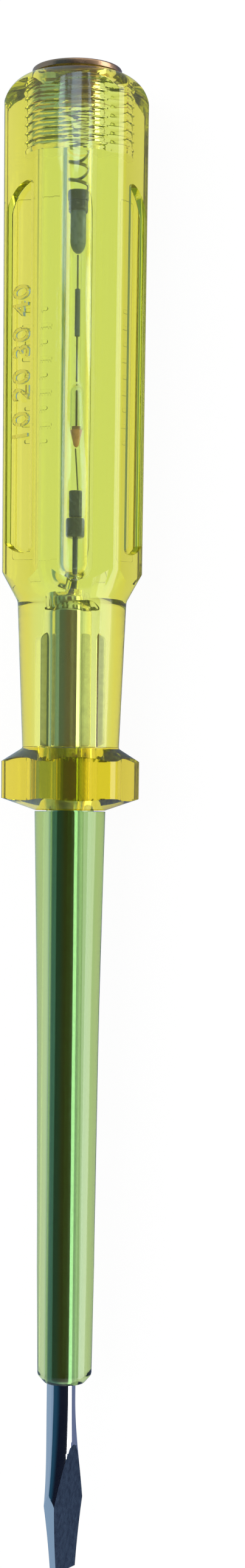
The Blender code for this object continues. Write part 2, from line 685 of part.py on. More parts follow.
def least_gap(points, diameter):
    """Smallest clearance of a wound wire to itself, between points half a turn or more apart."""
    apart = SPRING_POINTS_PER_TURN // 2
    nearest = math.inf
    for index, point in enumerate(points):
        for other in points[index + apart:]:
            nearest = min(nearest, (point - other).length)
    return nearest - diameter


def make_contact_spring():
    """Wound wire spring between the resistor's cap and the contact cap."""
    points = spring_points()
    print("contact_spring least gap to itself:", least_gap(points, SPRING_WIRE_DIAMETER))
    return tube("contact_spring", points, SPRING_WIRE_DIAMETER / 2, 1)


def soft_rod(name, bottom, top, radius, edge, steps, shift=(0, 0, 0)):
    """A plain round rod whose two edges are softened."""
    profile = [(bottom, 0)]
    profile += arc((bottom + edge, radius - edge), edge, 180, 90, CORNER_STEPS)
    profile += arc((top - edge, radius - edge), edge, 90, 0, CORNER_STEPS)
    profile += [(top, 0)]
    return turned(name, profile, steps, shift)


def make_resistor_cap():
    """Metal end cap of the resistor: a flange for the spring and a skirt over the body."""
    skirt_inside = RESISTOR_RADIUS + FINE_GAP
    skirt_outside = skirt_inside + RESISTOR_CAP_SKIRT_WALL
    skirt_end = RESISTOR_CAP_SHOULDER - RESISTOR_CAP_SKIRT_LENGTH
    edge_centre = (RESISTOR_CAP_TOP - SMALL_EDGE_RADIUS, RESISTOR_CAP_FLANGE_RADIUS - SMALL_EDGE_RADIUS)
    profile = [(RESISTOR_CAP_SHOULDER, 0), (RESISTOR_CAP_SHOULDER, skirt_inside)]
    profile += [(skirt_end, skirt_inside), (skirt_end, skirt_outside)]
    profile += [(RESISTOR_CAP_SHOULDER, skirt_outside)]
    profile += [(RESISTOR_CAP_SHOULDER, RESISTOR_CAP_FLANGE_RADIUS)]
    profile += arc(edge_centre, SMALL_EDGE_RADIUS, 90, 0, CORNER_STEPS)
    profile += [(RESISTOR_CAP_TOP, 0)]
    return turned("resistor_cap", profile, ROUND_STEPS)


def make_resistor():
    """Dark resistor rod with a bullet-shaped lower end."""
    profile = arc((RESISTOR_BOTTOM + RESISTOR_RADIUS, 0), RESISTOR_RADIUS, 180, 90, ARC_STEPS)
    profile = [(RESISTOR_BOTTOM, 0)] + profile[1:]
    profile += [(RESISTOR_TOP, RESISTOR_RADIUS), (RESISTOR_TOP, 0)]
    return turned("resistor", profile, ROUND_STEPS)


def make_resistor_lead():
    """Straight lead from the resistor down to the lamp."""
    low = Vector((0, RESISTOR_LEAD_BOTTOM, 0))
    high = Vector((0, RESISTOR_LEAD_TOP, 0))
    return tube("resistor_lead", [low, high], RESISTOR_LEAD_RADIUS, 2)


def make_lead_sleeve():
    """Insulating sleeve on the resistor's lead."""
    lead_length = RESISTOR_LEAD_TOP - RESISTOR_LEAD_BOTTOM
    bottom, top = (RESISTOR_LEAD_BOTTOM + share * lead_length for share in LEAD_SLEEVE_SHARES)
    inside = RESISTOR_LEAD_RADIUS + FINE_GAP / 2
    profile = [(bottom, inside), (bottom, LEAD_SLEEVE_RADIUS)]
    profile += [(top, LEAD_SLEEVE_RADIUS), (top, inside)]
    return turned("lead_sleeve", profile, WIRE_STEPS * 2)


def make_lamp_glass():
    """Glass bulb of the lamp, domed above and open at its lower end."""
    inside = LAMP_RADIUS - LAMP_GLASS_WALL
    centre = (LAMP_TOP - LAMP_RADIUS, 0)
    profile = arc(centre, LAMP_RADIUS, 0, 90, ARC_STEPS)
    profile = [(LAMP_TOP, 0)] + profile[1:]
    profile += [(LAMP_GLASS_BOTTOM, LAMP_RADIUS), (LAMP_GLASS_BOTTOM, inside)]
    profile += arc(centre, inside, 90, 0, ARC_STEPS)[:-1]
    profile += [(centre[0] + inside, 0)]
    return turned("lamp_glass", profile, ROUND_STEPS)


def make_lamp_electrode(name, side):
    """One of the lamp's two rod electrodes, which stand side by side on the seal."""
    edge = ELECTRODE_RADIUS / 3
    bottom = LAMP_SEAL_TOP + FINE_GAP
    shift = (0, 0, side * ELECTRODE_OFFSET)
    return soft_rod(name, bottom, bottom + ELECTRODE_LENGTH, ELECTRODE_RADIUS, edge, WIRE_STEPS, shift)


def make_lamp_seal():
    """Coloured seal that closes the lower end of the bulb and tapers to the lead."""
    plug_radius = LAMP_RADIUS - LAMP_GLASS_WALL - FINE_GAP
    tip_centre = (LAMP_SEAL_BOTTOM + LAMP_SEAL_TIP_RADIUS, 0)
    profile = arc(tip_centre, LAMP_SEAL_TIP_RADIUS, 180, 90, CORNER_STEPS)
    profile = [(LAMP_SEAL_BOTTOM, 0)] + profile[1:]
    profile += [(LAMP_SEAL_STEP, LAMP_RADIUS - FINE_GAP), (LAMP_SEAL_STEP, plug_radius)]
    profile += [(LAMP_SEAL_TOP, plug_radius), (LAMP_SEAL_TOP, 0)]
    return turned("lamp_seal", profile, ROUND_STEPS)


def make_lamp_lead():
    """Slanting lead from the lamp's seal to the lower contact."""
    low = Vector((LAMP_LEAD_FOOT_OFFSET, LAMP_LEAD_BOTTOM, 0))
    high = Vector((LAMP_LEAD_TOP_OFFSET, LAMP_LEAD_TOP, 0))
    return tube("lamp_lead", [low, high], LAMP_LEAD_RADIUS, 2)


def make_contact_sleeve():
    """Metal sleeve that the lamp's lead ends in."""
    edge = SMALL_EDGE_RADIUS / 2
    ends = (CONTACT_SLEEVE_BOTTOM, CONTACT_SLEEVE_TOP)
    return soft_rod("contact_sleeve", *ends, CONTACT_SLEEVE_RADIUS, edge, ROUND_STEPS)


def make_contact_base():
    """Wide contact with a thin stem that reaches the blade through the bore's floor."""
    lower_centre = (CONTACT_BASE_BOTTOM + SMALL_EDGE_RADIUS, CONTACT_BASE_RADIUS - SMALL_EDGE_RADIUS)
    upper_centre = (CONTACT_BASE_TOP - SMALL_EDGE_RADIUS, CONTACT_BASE_RADIUS - SMALL_EDGE_RADIUS)
    profile = [(CONTACT_STEM_BOTTOM, 0), (CONTACT_STEM_BOTTOM, CONTACT_STEM_RADIUS)]
    profile += [(CONTACT_BASE_BOTTOM, CONTACT_STEM_RADIUS)]
    profile += arc(lower_centre, SMALL_EDGE_RADIUS, 180, 90, CORNER_STEPS)
    profile += arc(upper_centre, SMALL_EDGE_RADIUS, 90, 0, CORNER_STEPS)
    profile += [(CONTACT_BASE_TOP, 0)]
    return turned("contact_base", profile, ROUND_STEPS)


def paint(piece, name, colour, roughness, metallic, alpha=1.0):
    """Give a piece its own plain material."""
    material = bpy.data.materials.new(name)
    material.use_nodes = True
    shader = material.node_tree.nodes["Principled BSDF"]
    shader.inputs["Base Color"].default_value = (*colour, 1.0)
    shader.inputs["Roughness"].default_value = roughness
    shader.inputs["Metallic"].default_value = metallic
    shader.inputs["Alpha"].default_value = alpha
    material.diffuse_color = (*colour, alpha)
    piece.data.materials.append(material)


def place_on_axis(piece, axis, station):
    """Hang a piece on the tool's axis with its origin at a station, and its shape unmoved."""
    shift = Matrix.Translation((0, -station, 0))
    piece.data.transform(shift)
    piece.parent = axis
    piece.location = (0, station, 0)


def main():
    for old in list(bpy.data.objects):
        bpy.data.objects.remove(old, do_unlink=True)

    axis = bpy.data.objects.new("tool_axis", None)
    bpy.context.scene.collection.objects.link(axis)
    axis.location = (0, -OVERALL_LENGTH / 2, AXIS_HEIGHT)

    yellow = (0.72, 0.70, 0.16)
    lime = (0.62, 0.68, 0.24)
    steel = (0.62, 0.64, 0.68)
    copper = (0.62, 0.36, 0.26)
    slate = (0.10, 0.13, 0.20)
    tin = (0.70, 0.70, 0.68)
    bulb = (0.90, 0.93, 0.92)
    coral = (0.85, 0.36, 0.26)

    finished = [
        (make_handle(), 0, (yellow, 0.12, 0.0, 0.5)),
        (make_sheath(), 0, (lime, 0.2, 0.0, 0.5)),
        (make_blade(), 0, (steel, 0.22, 1.0, 1.0)),
        (make_contact_cap(), LAND, (copper, 0.3, 1.0, 1.0)),
        (make_contact_spring(), RESISTOR_CAP_TOP, (tin, 0.25, 1.0, 1.0)),
        (make_resistor_cap(), 0, (slate, 0.3, 1.0, 1.0)),
        (make_resistor(), 0, (slate, 0.45, 0.0, 1.0)),
        (make_resistor_lead(), 0, (tin, 0.3, 1.0, 1.0)),
        (make_lead_sleeve(), 0, (slate, 0.5, 0.0, 1.0)),
        (make_lamp_glass(), 0, (bulb, 0.05, 0.0, 0.35)),
        (make_lamp_electrode("lamp_electrode_near", 1), 0, (steel, 0.4, 1.0, 1.0)),
        (make_lamp_electrode("lamp_electrode_far", -1), 0, (steel, 0.4, 1.0, 1.0)),
        (make_lamp_seal(), 0, (coral, 0.35, 0.0, 1.0)),
        (make_lamp_lead(), 0, (tin, 0.3, 1.0, 1.0)),
        (make_contact_sleeve(), 0, (slate, 0.3, 1.0, 1.0)),
        (make_contact_base(), 0, (slate, 0.3, 1.0, 1.0)),
    ]
    for piece, station, (colour, roughness, metallic, alpha) in finished:
        paint(piece, piece.name + "_finish", colour, roughness, metallic, alpha)
        place_on_axis(piece, axis, station)
    for piece in bpy.data.objects:
        if piece.display_type == "WIRE":
            piece.parent = axis


main()
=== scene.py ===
"""Neon voltage tester in the form of a slotted screwdriver, with its finished surfaces.

The tool lies along Y on one flat of its clear handle, tip at -Y and cap at +Y.
Stations are lengths measured along the tool from the tip of the blade.
"""

import math

import bmesh
import bpy
from bpy.props import FloatProperty, FloatVectorProperty, IntProperty, PointerProperty, StringProperty
from mathutils import Matrix, Vector


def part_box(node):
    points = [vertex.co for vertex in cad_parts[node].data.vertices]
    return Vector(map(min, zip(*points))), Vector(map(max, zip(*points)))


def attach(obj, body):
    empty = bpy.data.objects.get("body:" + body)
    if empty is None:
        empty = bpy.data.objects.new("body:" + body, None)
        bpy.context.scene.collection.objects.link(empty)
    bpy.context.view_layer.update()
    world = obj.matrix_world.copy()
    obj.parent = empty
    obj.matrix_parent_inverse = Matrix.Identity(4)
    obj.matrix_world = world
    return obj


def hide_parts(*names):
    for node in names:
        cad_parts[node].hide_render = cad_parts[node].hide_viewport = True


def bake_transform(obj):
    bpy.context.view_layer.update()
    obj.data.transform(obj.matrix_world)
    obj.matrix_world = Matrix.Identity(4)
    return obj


bl_info = {
    "name": "Voltage tester",
    "version": (1, 0, 0),
    "blender": (4, 5, 0),
    "location": "3D View > Sidebar > Tester",
    "description": "Builds a clear-handled voltage tester with its lamp, resistor, spring and cap",
    "category": "Object",
}

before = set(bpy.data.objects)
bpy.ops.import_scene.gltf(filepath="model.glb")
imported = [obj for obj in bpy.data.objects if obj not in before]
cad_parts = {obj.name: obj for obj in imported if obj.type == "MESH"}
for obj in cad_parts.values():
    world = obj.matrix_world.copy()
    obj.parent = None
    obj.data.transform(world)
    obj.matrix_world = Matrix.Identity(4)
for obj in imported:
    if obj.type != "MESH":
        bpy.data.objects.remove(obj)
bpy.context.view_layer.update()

# The tool's axis and the places of its seats, read from the frame
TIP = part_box("blade")[0].y
AXIS = sum((corner.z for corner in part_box("contact_cap")), 0.0) / 2
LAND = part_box("handle")[1].y - TIP
TOOL_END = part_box("contact_cap")[1].y - TIP
GUARD_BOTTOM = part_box("handle")[0].y - TIP
SHEATH_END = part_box("blade_sheath")[0].y - TIP
SPIGOT_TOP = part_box("blade_sheath")[1].y - TIP
SHANK_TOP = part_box("blade")[1].y - TIP

# Play between pieces, the gap over the spigot, and how far a cutter runs past what it cuts
FIT = 0.00015
SEAT = 0.0003
OVERRUN = 0.001
MERGE_DISTANCE = 0.000001
HALF_HEXAGON = math.radians(30)

# Seats inside the handle: the spigot and its socket, and the web between the neck and the bore
SPIGOT_RADIUS = 0.0030
SOCKET_RADIUS = 0.00315
WEB_THICKNESS = 0.0015
WEB_HOLE_RADIUS = 0.0007
MOUTH_CHAMFER = 0.0004
RINGS_PER_TURN = 12

# Panels: their softened edge, and the long and short ticks in the one below
PANEL_EDGE = 0.00008
TICK_LENGTHS = (0.0016, 0.0028)
TICK_WIDTH = 0.0005
TICK_HEIGHT = 0.0003
TICK_CORNER = 0.0002
TICK_SINK = 0.00009

# Sheath: where its taper changes, below the guard, and how gently
SHEATH_KNEE = 0.0515
SHEATH_WAIST = 0.0238
SHEATH_EASE = 0.006

# Blade: how far its flats are turned up from the table, its swaged ears, how its forging
# spreads, and how far the grinds' trimming shapes reach
BLADE_TURN_DEG = 49.5
SHANK_END_ROUNDING = 0.0006
EAR_SIZE = (0.00574, 0.0142, 0.0012)
EAR_LIFT = 0.0006
EAR_CORNER = 0.0010
EAR_EDGE = 0.0002
FORGE_CURVE = 1.6
GRIND_REACH = 0.008

# Cap: rounding of its rim, rise of its dome, its well and its crown
CAP_EDGE = 0.0003
CAP_DOME = 0.0005
CAP_WELL_RADIUS = 0.0026
CAP_CROWN = 0.0013
CAP_LEAD_IN = 0.0002

# Inner pieces: wall of the bulb, flange of the resistor's cap, head of the lower contact
BULB_WALL = 0.0003
FLANGE_HEIGHT = 0.0013
CAP_SKIRT_WALL = 0.0002
SEAL_TIP_RADIUS = 0.0006
SEAL_RADIUS = 0.00115
SEAL_NECK_RADIUS = 0.00085
LEAD_RADIUS = 0.00017
LEAD_LEAN = 0.0005
CONTACT_HEAD = 0.0024
CONTACT_STEM_RADIUS = 0.0005
SOFT_EDGE = 0.0003
SMALL_EDGE = 0.0001
SLEEVE_PLAY = 0.00007
SLEEVE_EDGE = 0.00005

# Camera: focal length, frame height and how far the tool stands aside, in pixels of its frame
FOCAL_PIXELS = 4033
FRAME_PIXELS = 2576
ASIDE_PIXELS = 86
SENSOR_HEIGHT = 36.0
CAMERA_DISTANCE = 0.310
CAMERA_STATION = 0.0991
CAMERA_TURN_DEG = 6.5
CAMERA_ROLL_DEG = 0.57

# How far the deeper colour of the guard blends into the neck
DEEP_BLEND = 0.0008

# Plain white, and colours of the dim ceiling and the walls that polished pieces mirror, and of the paper as
# they mirror it: painted light on its left, painted shadow on its right
WHITE = (1.0, 1.0, 1.0)
CEILING_LEFT = (0.012, 0.065, 0.12)
CEILING_RIGHT = (0.003, 0.006, 0.018)
CEILING_THROUGH_LEFT = (0.07, 0.11, 0.09)
CEILING_THROUGH_RIGHT = (0.13, 0.085, 0.015)
CEILING_NEAR = (0.80, 0.74, 0.50)
WALL_LEFT = (0.28, 0.41, 0.56)
WALL_RIGHT = (0.96, 0.98, 1.0)
# Not the paper's own white: a painted reflection of lit paper on the left (also the painted colour the paper
# dims to far left behind clear pieces) and a painted shadow of the tool on the right
PAPER_LEFT_PAINTED_LIGHT = (0.24, 0.38, 0.54)
PAPER_RIGHT_PAINTED_SHADOW = (0.05, 0.09, 0.24)


def length(description, default):
    """A length that the user can change."""
    return FloatProperty(
        description=description, default=default, unit="LENGTH", subtype="DISTANCE", precision=6
    )


def colour(description, default):
    """A colour that the user can change."""
    return FloatVectorProperty(
        description=description, default=default, subtype="COLOR", size=3, min=0.0, max=1.0
    )


class TesterHandleSizes(bpy.types.PropertyGroup):
    """Sizes of the clear handle."""

    across_flats: length("Width of the grip over its flats at the shoulder", 0.01660)
    guard_across_flats: length("Width of the guard over its flats", 0.01584)
    corner_radius: length("Rounding of the long corners", 0.0024)
    turning_allowance: length("How far the turned shoulder clears the corners", 0.0001)
    guard_cone: length("Length of the cone below the guard's faces", 0.0015)
    guard_face: length("Length of the guard's faces", 0.0046)
    guard_upper_cone: length("Length of the cone above the guard's faces", 0.0017)
    neck_length: length("Length of the turned neck", 0.0185)
    flare_length: length("Length of the cone under the grip", 0.0037)
    neck_bottom_radius: length("Radius of the neck at the guard", 0.00610)
    neck_top_radius: length("Radius of the neck at the grip", 0.00687)
    flare_fillet: length("Fillet between the neck and the flare", 0.0015)
    grip_length: length("Length of the hexagonal grip", 0.0581)
    shoulder_radius: length("Rounding of the handle's top", 0.0044)
    land_radius: length("Radius of the flat that the cap stands on", 0.0057)
    panel_depth: length("Depth of the recessed panels", 0.0003)
    panel_to_shoulder: length("From the panels' top to the shoulder", 0.0100)
    panel_to_flare: length("From the panels' foot to the flare", 0.0019)
    lower_panel_width: length("Width of the panel below", 0.0052)
    lower_panel_corner: length("Corner radius of the panel below", 0.0004)
    side_panel_front: length("From a flat's middle to its panel's front edge", 0.0018)
    side_panel_back: length("From a flat's middle to its panel's back edge", 0.0035)
    side_panel_top_corner: length("Front corner at the panel's top", 0.0006)
    side_panel_foot_corner: length("Front corner at the panel's foot", 0.0009)
    side_panel_top_sweep: length("How far the top falls away behind", 0.0033)
    side_panel_foot_sweep: length("How far the foot rises behind", 0.0015)
    thread_depth: length("Depth of the threaded hole", 0.01015)
    bore_top_radius: length("Radius of the bore below the thread", 0.00235)
    bore_bottom_radius: length("Radius of the bore at its floor", 0.00225)
    bore_floor_above_neck: length("Height of the bore's floor above the neck", 0.0024)
    neck_bore_radius: length("Radius of the bore round the shank", 0.00250)
    digits: StringProperty(description="Plain raised numbers in the left panel", default="10 20 30 40")
    digit_height: length("Height of the raised numbers", 0.0033)
    digits_length: length("Length of the row of numbers", 0.0190)
    digits_middle: length("Station of the middle of the numbers", 0.1513)
    digit_relief: length("How far the numbers stand out of the panel", 0.0002)
    tick_pitch: length("Spacing of the ticks in the panel below", 0.0021)


class TesterMetalSizes(bpy.types.PropertyGroup):
    """Sizes of the blade, its sheath, the cap and the spring."""

    shank_radius: length("Radius of the round shank", 0.00181)
    shank_offset: length("How far the shank lies beside the axis", 0.0004)
    forged_length: length("Length of the forged end", 0.0215)
    forged_half_width: length("Half width where the side grinds start", 0.00355)
    ground_side_length: length("Length of the ground edges", 0.0085)
    ground_half_width: length("Half width where the ground edges start", 0.00318)
    tip_half_width: length("Half width of the tip", 0.00214)
    tip_half_thickness: length("Half thickness of the tip", 0.00044)
    ground_flat_length: length("Length of the ground flats", 0.0172)
    sheath_bore_radius: length("Radius of the sheath's bore", 0.00212)
    sheath_bore_offset: length("How far that bore lies beside the axis", 0.00025)
    thread_pitch: length("Pitch of the cap's thread", 0.0011)
    thread_height: length("Half the depth of the thread", 0.0002)
    cap_shank_radius: length("Middle radius of the cap's thread", 0.0040)
    hole_thread_radius: length("Middle radius of the hole's thread", 0.00415)
    cap_rim_radius: length("Radius of the cap's head", 0.00568)
    cap_shank_length: length("Length of the cap's threaded shank", 0.0046)
    wire_radius: length("Radius of the spring's wire", 0.00022)
    coil_radius: length("Radius of the spring's coil", 0.00182)
    coil_turns: FloatProperty(description="Turns of the spring", default=6.5, min=1.0)
    round_steps: IntProperty(description="Facets round a turned piece", default=96, min=24)


class TesterColours(bpy.types.PropertyGroup):
    """Colours of the finishes, in linear light."""

    handle: colour("Clear yellow plastic", (0.92, 1.0, 0.80))
    handle_edge: colour("The same plastic seen edge on", (1.0, 0.80, 0.16))
    handle_depth: colour("What a long way through the handle leaves", (0.84, 0.86, 0.04))
    sheath: colour("Clear yellow-green plastic", (0.50, 0.69, 0.50))
    sheath_edge: colour("The same plastic seen edge on", (0.62, 0.68, 0.42))
    sheath_depth: colour("What a long way through the sheath leaves", (0.78, 0.86, 0.38))
    copper: colour("Copper-coloured contact cap", (0.52, 0.33, 0.20))
    chrome: colour("Plated shank", (0.78, 0.80, 0.84))
    ground: colour("Ground faces of the tip", (0.040, 0.062, 0.100))
    ears: colour("Satin faces of the swaged ears", (0.95, 0.96, 0.90))
    slate: colour("Dark contacts and resistor", (0.24, 0.31, 1.0))
    wire: colour("Spring and leads", (0.42, 0.44, 0.46))
    seal: colour("Pinkish-orange seal of the lamp", (0.88, 0.40, 0.45))


def put_down():
    """Leave edit mode and deselect everything."""
    if bpy.context.object and bpy.context.object.mode != "OBJECT":
        bpy.ops.object.mode_set(mode="OBJECT")
    bpy.ops.object.select_all(action="DESELECT")


def take_up(piece):
    """Make a piece the only selected and active one."""
    put_down()
    piece.select_set(True)
    bpy.context.view_layer.objects.active = piece


def edit(piece):
    """Open a piece in edit mode with nothing selected."""
    take_up(piece)
    bpy.ops.object.mode_set(mode="EDIT")
    bpy.ops.mesh.select_mode(type="VERT")
    bpy.ops.mesh.select_all(action="DESELECT")


def pick(piece, kind, test):
    """Select the verts, edges or faces of the piece in edit mode that pass a test."""
    bpy.ops.mesh.select_mode(type={"verts": "VERT", "edges": "EDGE", "faces": "FACE"}[kind])
    mesh = bmesh.from_edit_mesh(piece.data)
    for element in getattr(mesh, kind):
        if test(element):
            element.select_set(True)
    mesh.select_flush_mode()
    bmesh.update_edit_mesh(piece.data)


def soften(offset, segments):
    """Round off the selected edges."""
    bpy.ops.mesh.bevel(offset=offset, segments=segments, profile=0.5, affect="EDGES")


def settle(piece):
    """Put a piece's place into its mesh, so that its object sits at the origin."""
    take_up(piece)
    bpy.ops.object.transform_apply(location=True, rotation=True, scale=True)
    return piece


def place(piece, matrix):
    """Move a piece by a matrix and settle it there."""
    piece.matrix_world = matrix @ piece.matrix_world
    return settle(piece)


def tidy(piece, smooth_deg=30.0):
    """Merge doubles, close the surface outwards and smooth what is round."""
    edit(piece)
    bpy.ops.mesh.select_all(action="SELECT")
    bpy.ops.mesh.remove_doubles(threshold=MERGE_DISTANCE)
    bpy.ops.mesh.normals_make_consistent(inside=False)
    put_down()
    take_up(piece)
    bpy.ops.object.shade_smooth_by_angle(angle=math.radians(smooth_deg))
    return piece


def start_chain(name, first):
    """A piece of one vertex, open in edit mode, from which an outline is drawn."""
    put_down()
    bpy.ops.mesh.primitive_plane_add(size=0.001, location=first)
    piece = bpy.context.object
    piece.name = name
    piece.data.name = name
    bpy.ops.object.mode_set(mode="EDIT")
    bpy.ops.mesh.select_mode(type="VERT")
    bpy.ops.mesh.select_all(action="SELECT")
    bpy.ops.mesh.merge(type="CENTER")
    return piece


def draw_chain(points):
    """Extrude the selected vertex from point to point."""
    for before, after in zip(points, points[1:]):
        step = Vector(after) - Vector(before)
        bpy.ops.mesh.extrude_vertices_move(TRANSFORM_OT_translate={"value": step})


def turned(name, profile, steps, shift=(0.0, 0.0), smooth_deg=30.0):
    """Spin a profile of (station, radius) points round the axis, or round a line beside it."""
    points = [(shift[0] + radius, TIP + station, AXIS + shift[1]) for station, radius in profile]
    piece = start_chain(name, points[0])
    draw_chain(points)
    bpy.ops.mesh.select_all(action="SELECT")
    centre = (shift[0], TIP, AXIS + shift[1])
    bpy.ops.mesh.spin(steps=steps, angle=math.tau, center=centre, axis=(0, 1, 0))
    put_down()
    settle(piece)
    return tidy(piece, smooth_deg)


def boolean(piece, operation, tool):
    """Join, cut or trim a piece with a tool shape, which is used up."""
    take_up(piece)
    bpy.ops.object.modifier_add(type="BOOLEAN")
    modifier = piece.modifiers[-1]
    modifier.operation = operation
    modifier.solver = "EXACT"
    modifier.object = tool
    bpy.ops.object.modifier_apply(modifier=modifier.name)
    bpy.data.objects.remove(tool, do_unlink=True)


def weigh_normals(piece, smooth_deg=30.0):
    """Smooth a cut piece so that its large flats stay flat."""
    take_up(piece)
    bpy.ops.object.shade_smooth_by_angle(angle=math.radians(smooth_deg))
    bpy.ops.object.modifier_add(type="WEIGHTED_NORMAL")
    modifier = piece.modifiers[-1]
    modifier.keep_sharp = True
    modifier.weight = 100
    bpy.ops.object.modifier_apply(modifier=modifier.name)


def arc(centre, radius, start_deg, end_deg, steps):
    """Profile points on an arc; 0 degrees points along the tool, 90 outwards."""
    points = []
    for step in range(steps + 1):
        angle = math.radians(start_deg + (end_deg - start_deg) * step / steps)
        points.append((centre[0] + radius * math.cos(angle), centre[1] + radius * math.sin(angle)))
    return points


def carried_on(first, second, radius):
    """Where the line through two profile points reaches a radius."""
    slope = (second[0] - first[0]) / (second[1] - first[1])
    return (first[0] + slope * (radius - first[1]), radius)


def rounded_corner(before, corner, after, radius, steps):
    """Replace a corner of a profile by an arc that touches both of its sides."""
    here = Vector(corner)
    back = (Vector(before) - here).normalized()
    ahead = (Vector(after) - here).normalized()
    half = back.angle(ahead) / 2
    reach = radius / math.tan(half)
    centre = here + (back + ahead).normalized() * radius / math.sin(half)
    start = here + back * reach - centre
    end = here + ahead * reach - centre
    points = []
    for step in range(steps + 1):
        points.append(tuple(centre + start.lerp(end, step / steps).normalized() * radius))
    return points


def thread_wave(station, angle, pitch):
    """Height of a right-hand thread from -1 to 1, with flattened crests and roots."""
    phase = (station / pitch - angle / math.tau) % 1.0
    ramp = 1 - 4 * abs(phase - 0.5)
    return max(-1.0, min(1.0, 1.5 * ramp))


def thread_rings(low, high, radius, count):
    """Evenly spaced rings of a profile, for a thread to be wound on."""
    return [(low + (high - low) * ring / count, radius) for ring in range(1, count)]


def cut_thread(piece, low, high, radius, height, pitch):
    """Wind a thread on the fine rings of a turned piece between two stations."""
    for vertex in piece.data.vertices:
        station = vertex.co.y - TIP
        x, z = vertex.co.x, vertex.co.z - AXIS
        if not low < station < high or abs(math.hypot(x, z) - radius) > height / 4:
            continue
        share = min(1.0, (station - low) / pitch, (high - station) / pitch)
        wave = thread_wave(station, math.atan2(x, z), pitch) * height * share
        x, z = x * (radius + wave) / radius, z * (radius + wave) / radius
        vertex.co = (x, vertex.co.y, z + AXIS)


def finish_nodes(name):
    """A new material with its node tree and its shader."""
    material = bpy.data.materials.new(name)
    material.use_nodes = True
    tree = material.node_tree
    return material, tree, tree.nodes["Principled BSDF"]


def pattern(tree, scale, stretch=(1.0, 1.0, 1.0), detail=3.0):
    """A noise pattern on object coordinates, stretched along the axes."""
    coordinates = tree.nodes.new("ShaderNodeTexCoord")
    mapping = tree.nodes.new("ShaderNodeMapping")
    mapping.inputs["Scale"].default_value = stretch
    noise = tree.nodes.new("ShaderNodeTexNoise")
    noise.inputs["Scale"].default_value = scale
    noise.inputs["Detail"].default_value = detail
    tree.links.new(coordinates.outputs["Object"], mapping.inputs["Vector"])
    tree.links.new(mapping.outputs["Vector"], noise.inputs["Vector"])
    return noise.outputs["Fac"]


def spread(tree, source, low, high):
    """Spread a pattern between two values."""
    rule = tree.nodes.new("ShaderNodeMapRange")
    rule.inputs["To Min"].default_value = low
    rule.inputs["To Max"].default_value = high
    rule.inputs["From Min"].default_value = 0.3
    rule.inputs["From Max"].default_value = 0.7
    tree.links.new(source, rule.inputs["Value"])
    return rule.outputs["Result"]


def feed(tree, value, socket):
    """Link a socket to another, or give it a number or a colour."""
    if isinstance(value, bpy.types.NodeSocket):
        tree.links.new(value, socket)
    elif isinstance(value, (int, float)):
        socket.default_value = value
    else:
        socket.default_value = (*value, 1.0)


def worked_out(tree, operation, *values):
    """A number worked out from sockets and plain numbers."""
    step = tree.nodes.new("ShaderNodeMath")
    step.operation = operation
    for socket, value in zip(step.inputs, values):
        feed(tree, value, socket)
    return step.outputs[0]


def coordinates_of(tree, kind):
    """X, Y and Z of a kind of coordinate."""
    source = tree.nodes.new("ShaderNodeTexCoord")
    parts = tree.nodes.new("ShaderNodeSeparateXYZ")
    tree.links.new(source.outputs[kind], parts.inputs[0])
    return parts.outputs


def tint(tree, source, first, second):
    """Blend two colours by a pattern."""
    blend = tree.nodes.new("ShaderNodeMix")
    blend.data_type = "RGBA"
    feed(tree, first, blend.inputs[6])
    feed(tree, second, blend.inputs[7])
    tree.links.new(source, blend.inputs[0])
    return blend.outputs[2]


def ramp(tree, source, low, high):
    """Rise smoothly from 0 to 1 between two values."""
    rule = tree.nodes.new("ShaderNodeMapRange")
    rule.interpolation_type = "SMOOTHSTEP"
    rule.inputs["From Min"].default_value = low
    rule.inputs["From Max"].default_value = high
    tree.links.new(source, rule.inputs["Value"])
    return rule.outputs["Result"]


def relief(tree, source, shader, distance):
    """Raise a pattern as fine relief."""
    bump = tree.nodes.new("ShaderNodeBump")
    bump.inputs["Distance"].default_value = distance
    bump.inputs["Strength"].default_value = 1.0
    tree.links.new(source, bump.inputs["Height"])
    tree.links.new(bump.outputs["Normal"], shader.inputs["Normal"])


def darker(shade, factor):
    """The same colour with less light."""
    return tuple(channel * factor for channel in shade)


def clear_plastic(name, shade, edge_shade, absorbed, density, ripple, haze=0.0, deep_below=0.0):
    """Clear tinted plastic, deeper in colour edge on and below a station, with faint ripples and scuffs."""
    material, tree, shader = finish_nodes(name)
    shader.inputs["Transmission Weight"].default_value = 1.0 - haze
    shader.inputs["IOR"].default_value = 1.49
    cloud = pattern(tree, 90.0, (1.0, 0.25, 1.0))
    weight = tree.nodes.new("ShaderNodeLayerWeight")
    edge_on = ramp(tree, weight.outputs["Facing"], 0.08, 0.5)
    middle = tint(tree, cloud, darker(shade, 0.97), shade)
    along = coordinates_of(tree, "Object")["Y"]
    low = ramp(tree, along, TIP + deep_below + DEEP_BLEND, TIP + deep_below - DEEP_BLEND)
    deep = worked_out(tree, "MAXIMUM", edge_on, low)
    tree.links.new(tint(tree, deep, middle, edge_shade), shader.inputs["Base Color"])
    scuff = pattern(tree, 1400.0, (1.0, 0.3, 1.0), 5.0)
    tree.links.new(spread(tree, scuff, 0.01, 0.05), shader.inputs["Roughness"])
    relief(tree, pattern(tree, 260.0, (1.0, 0.08, 1.0), 2.0), shader, ripple)
    volume = tree.nodes.new("ShaderNodeVolumeAbsorption")
    volume.inputs["Color"].default_value = (*absorbed, 1.0)
    volume.inputs["Density"].default_value = density
    tree.links.new(volume.outputs["Volume"], tree.nodes["Material Output"].inputs["Volume"])
    return material


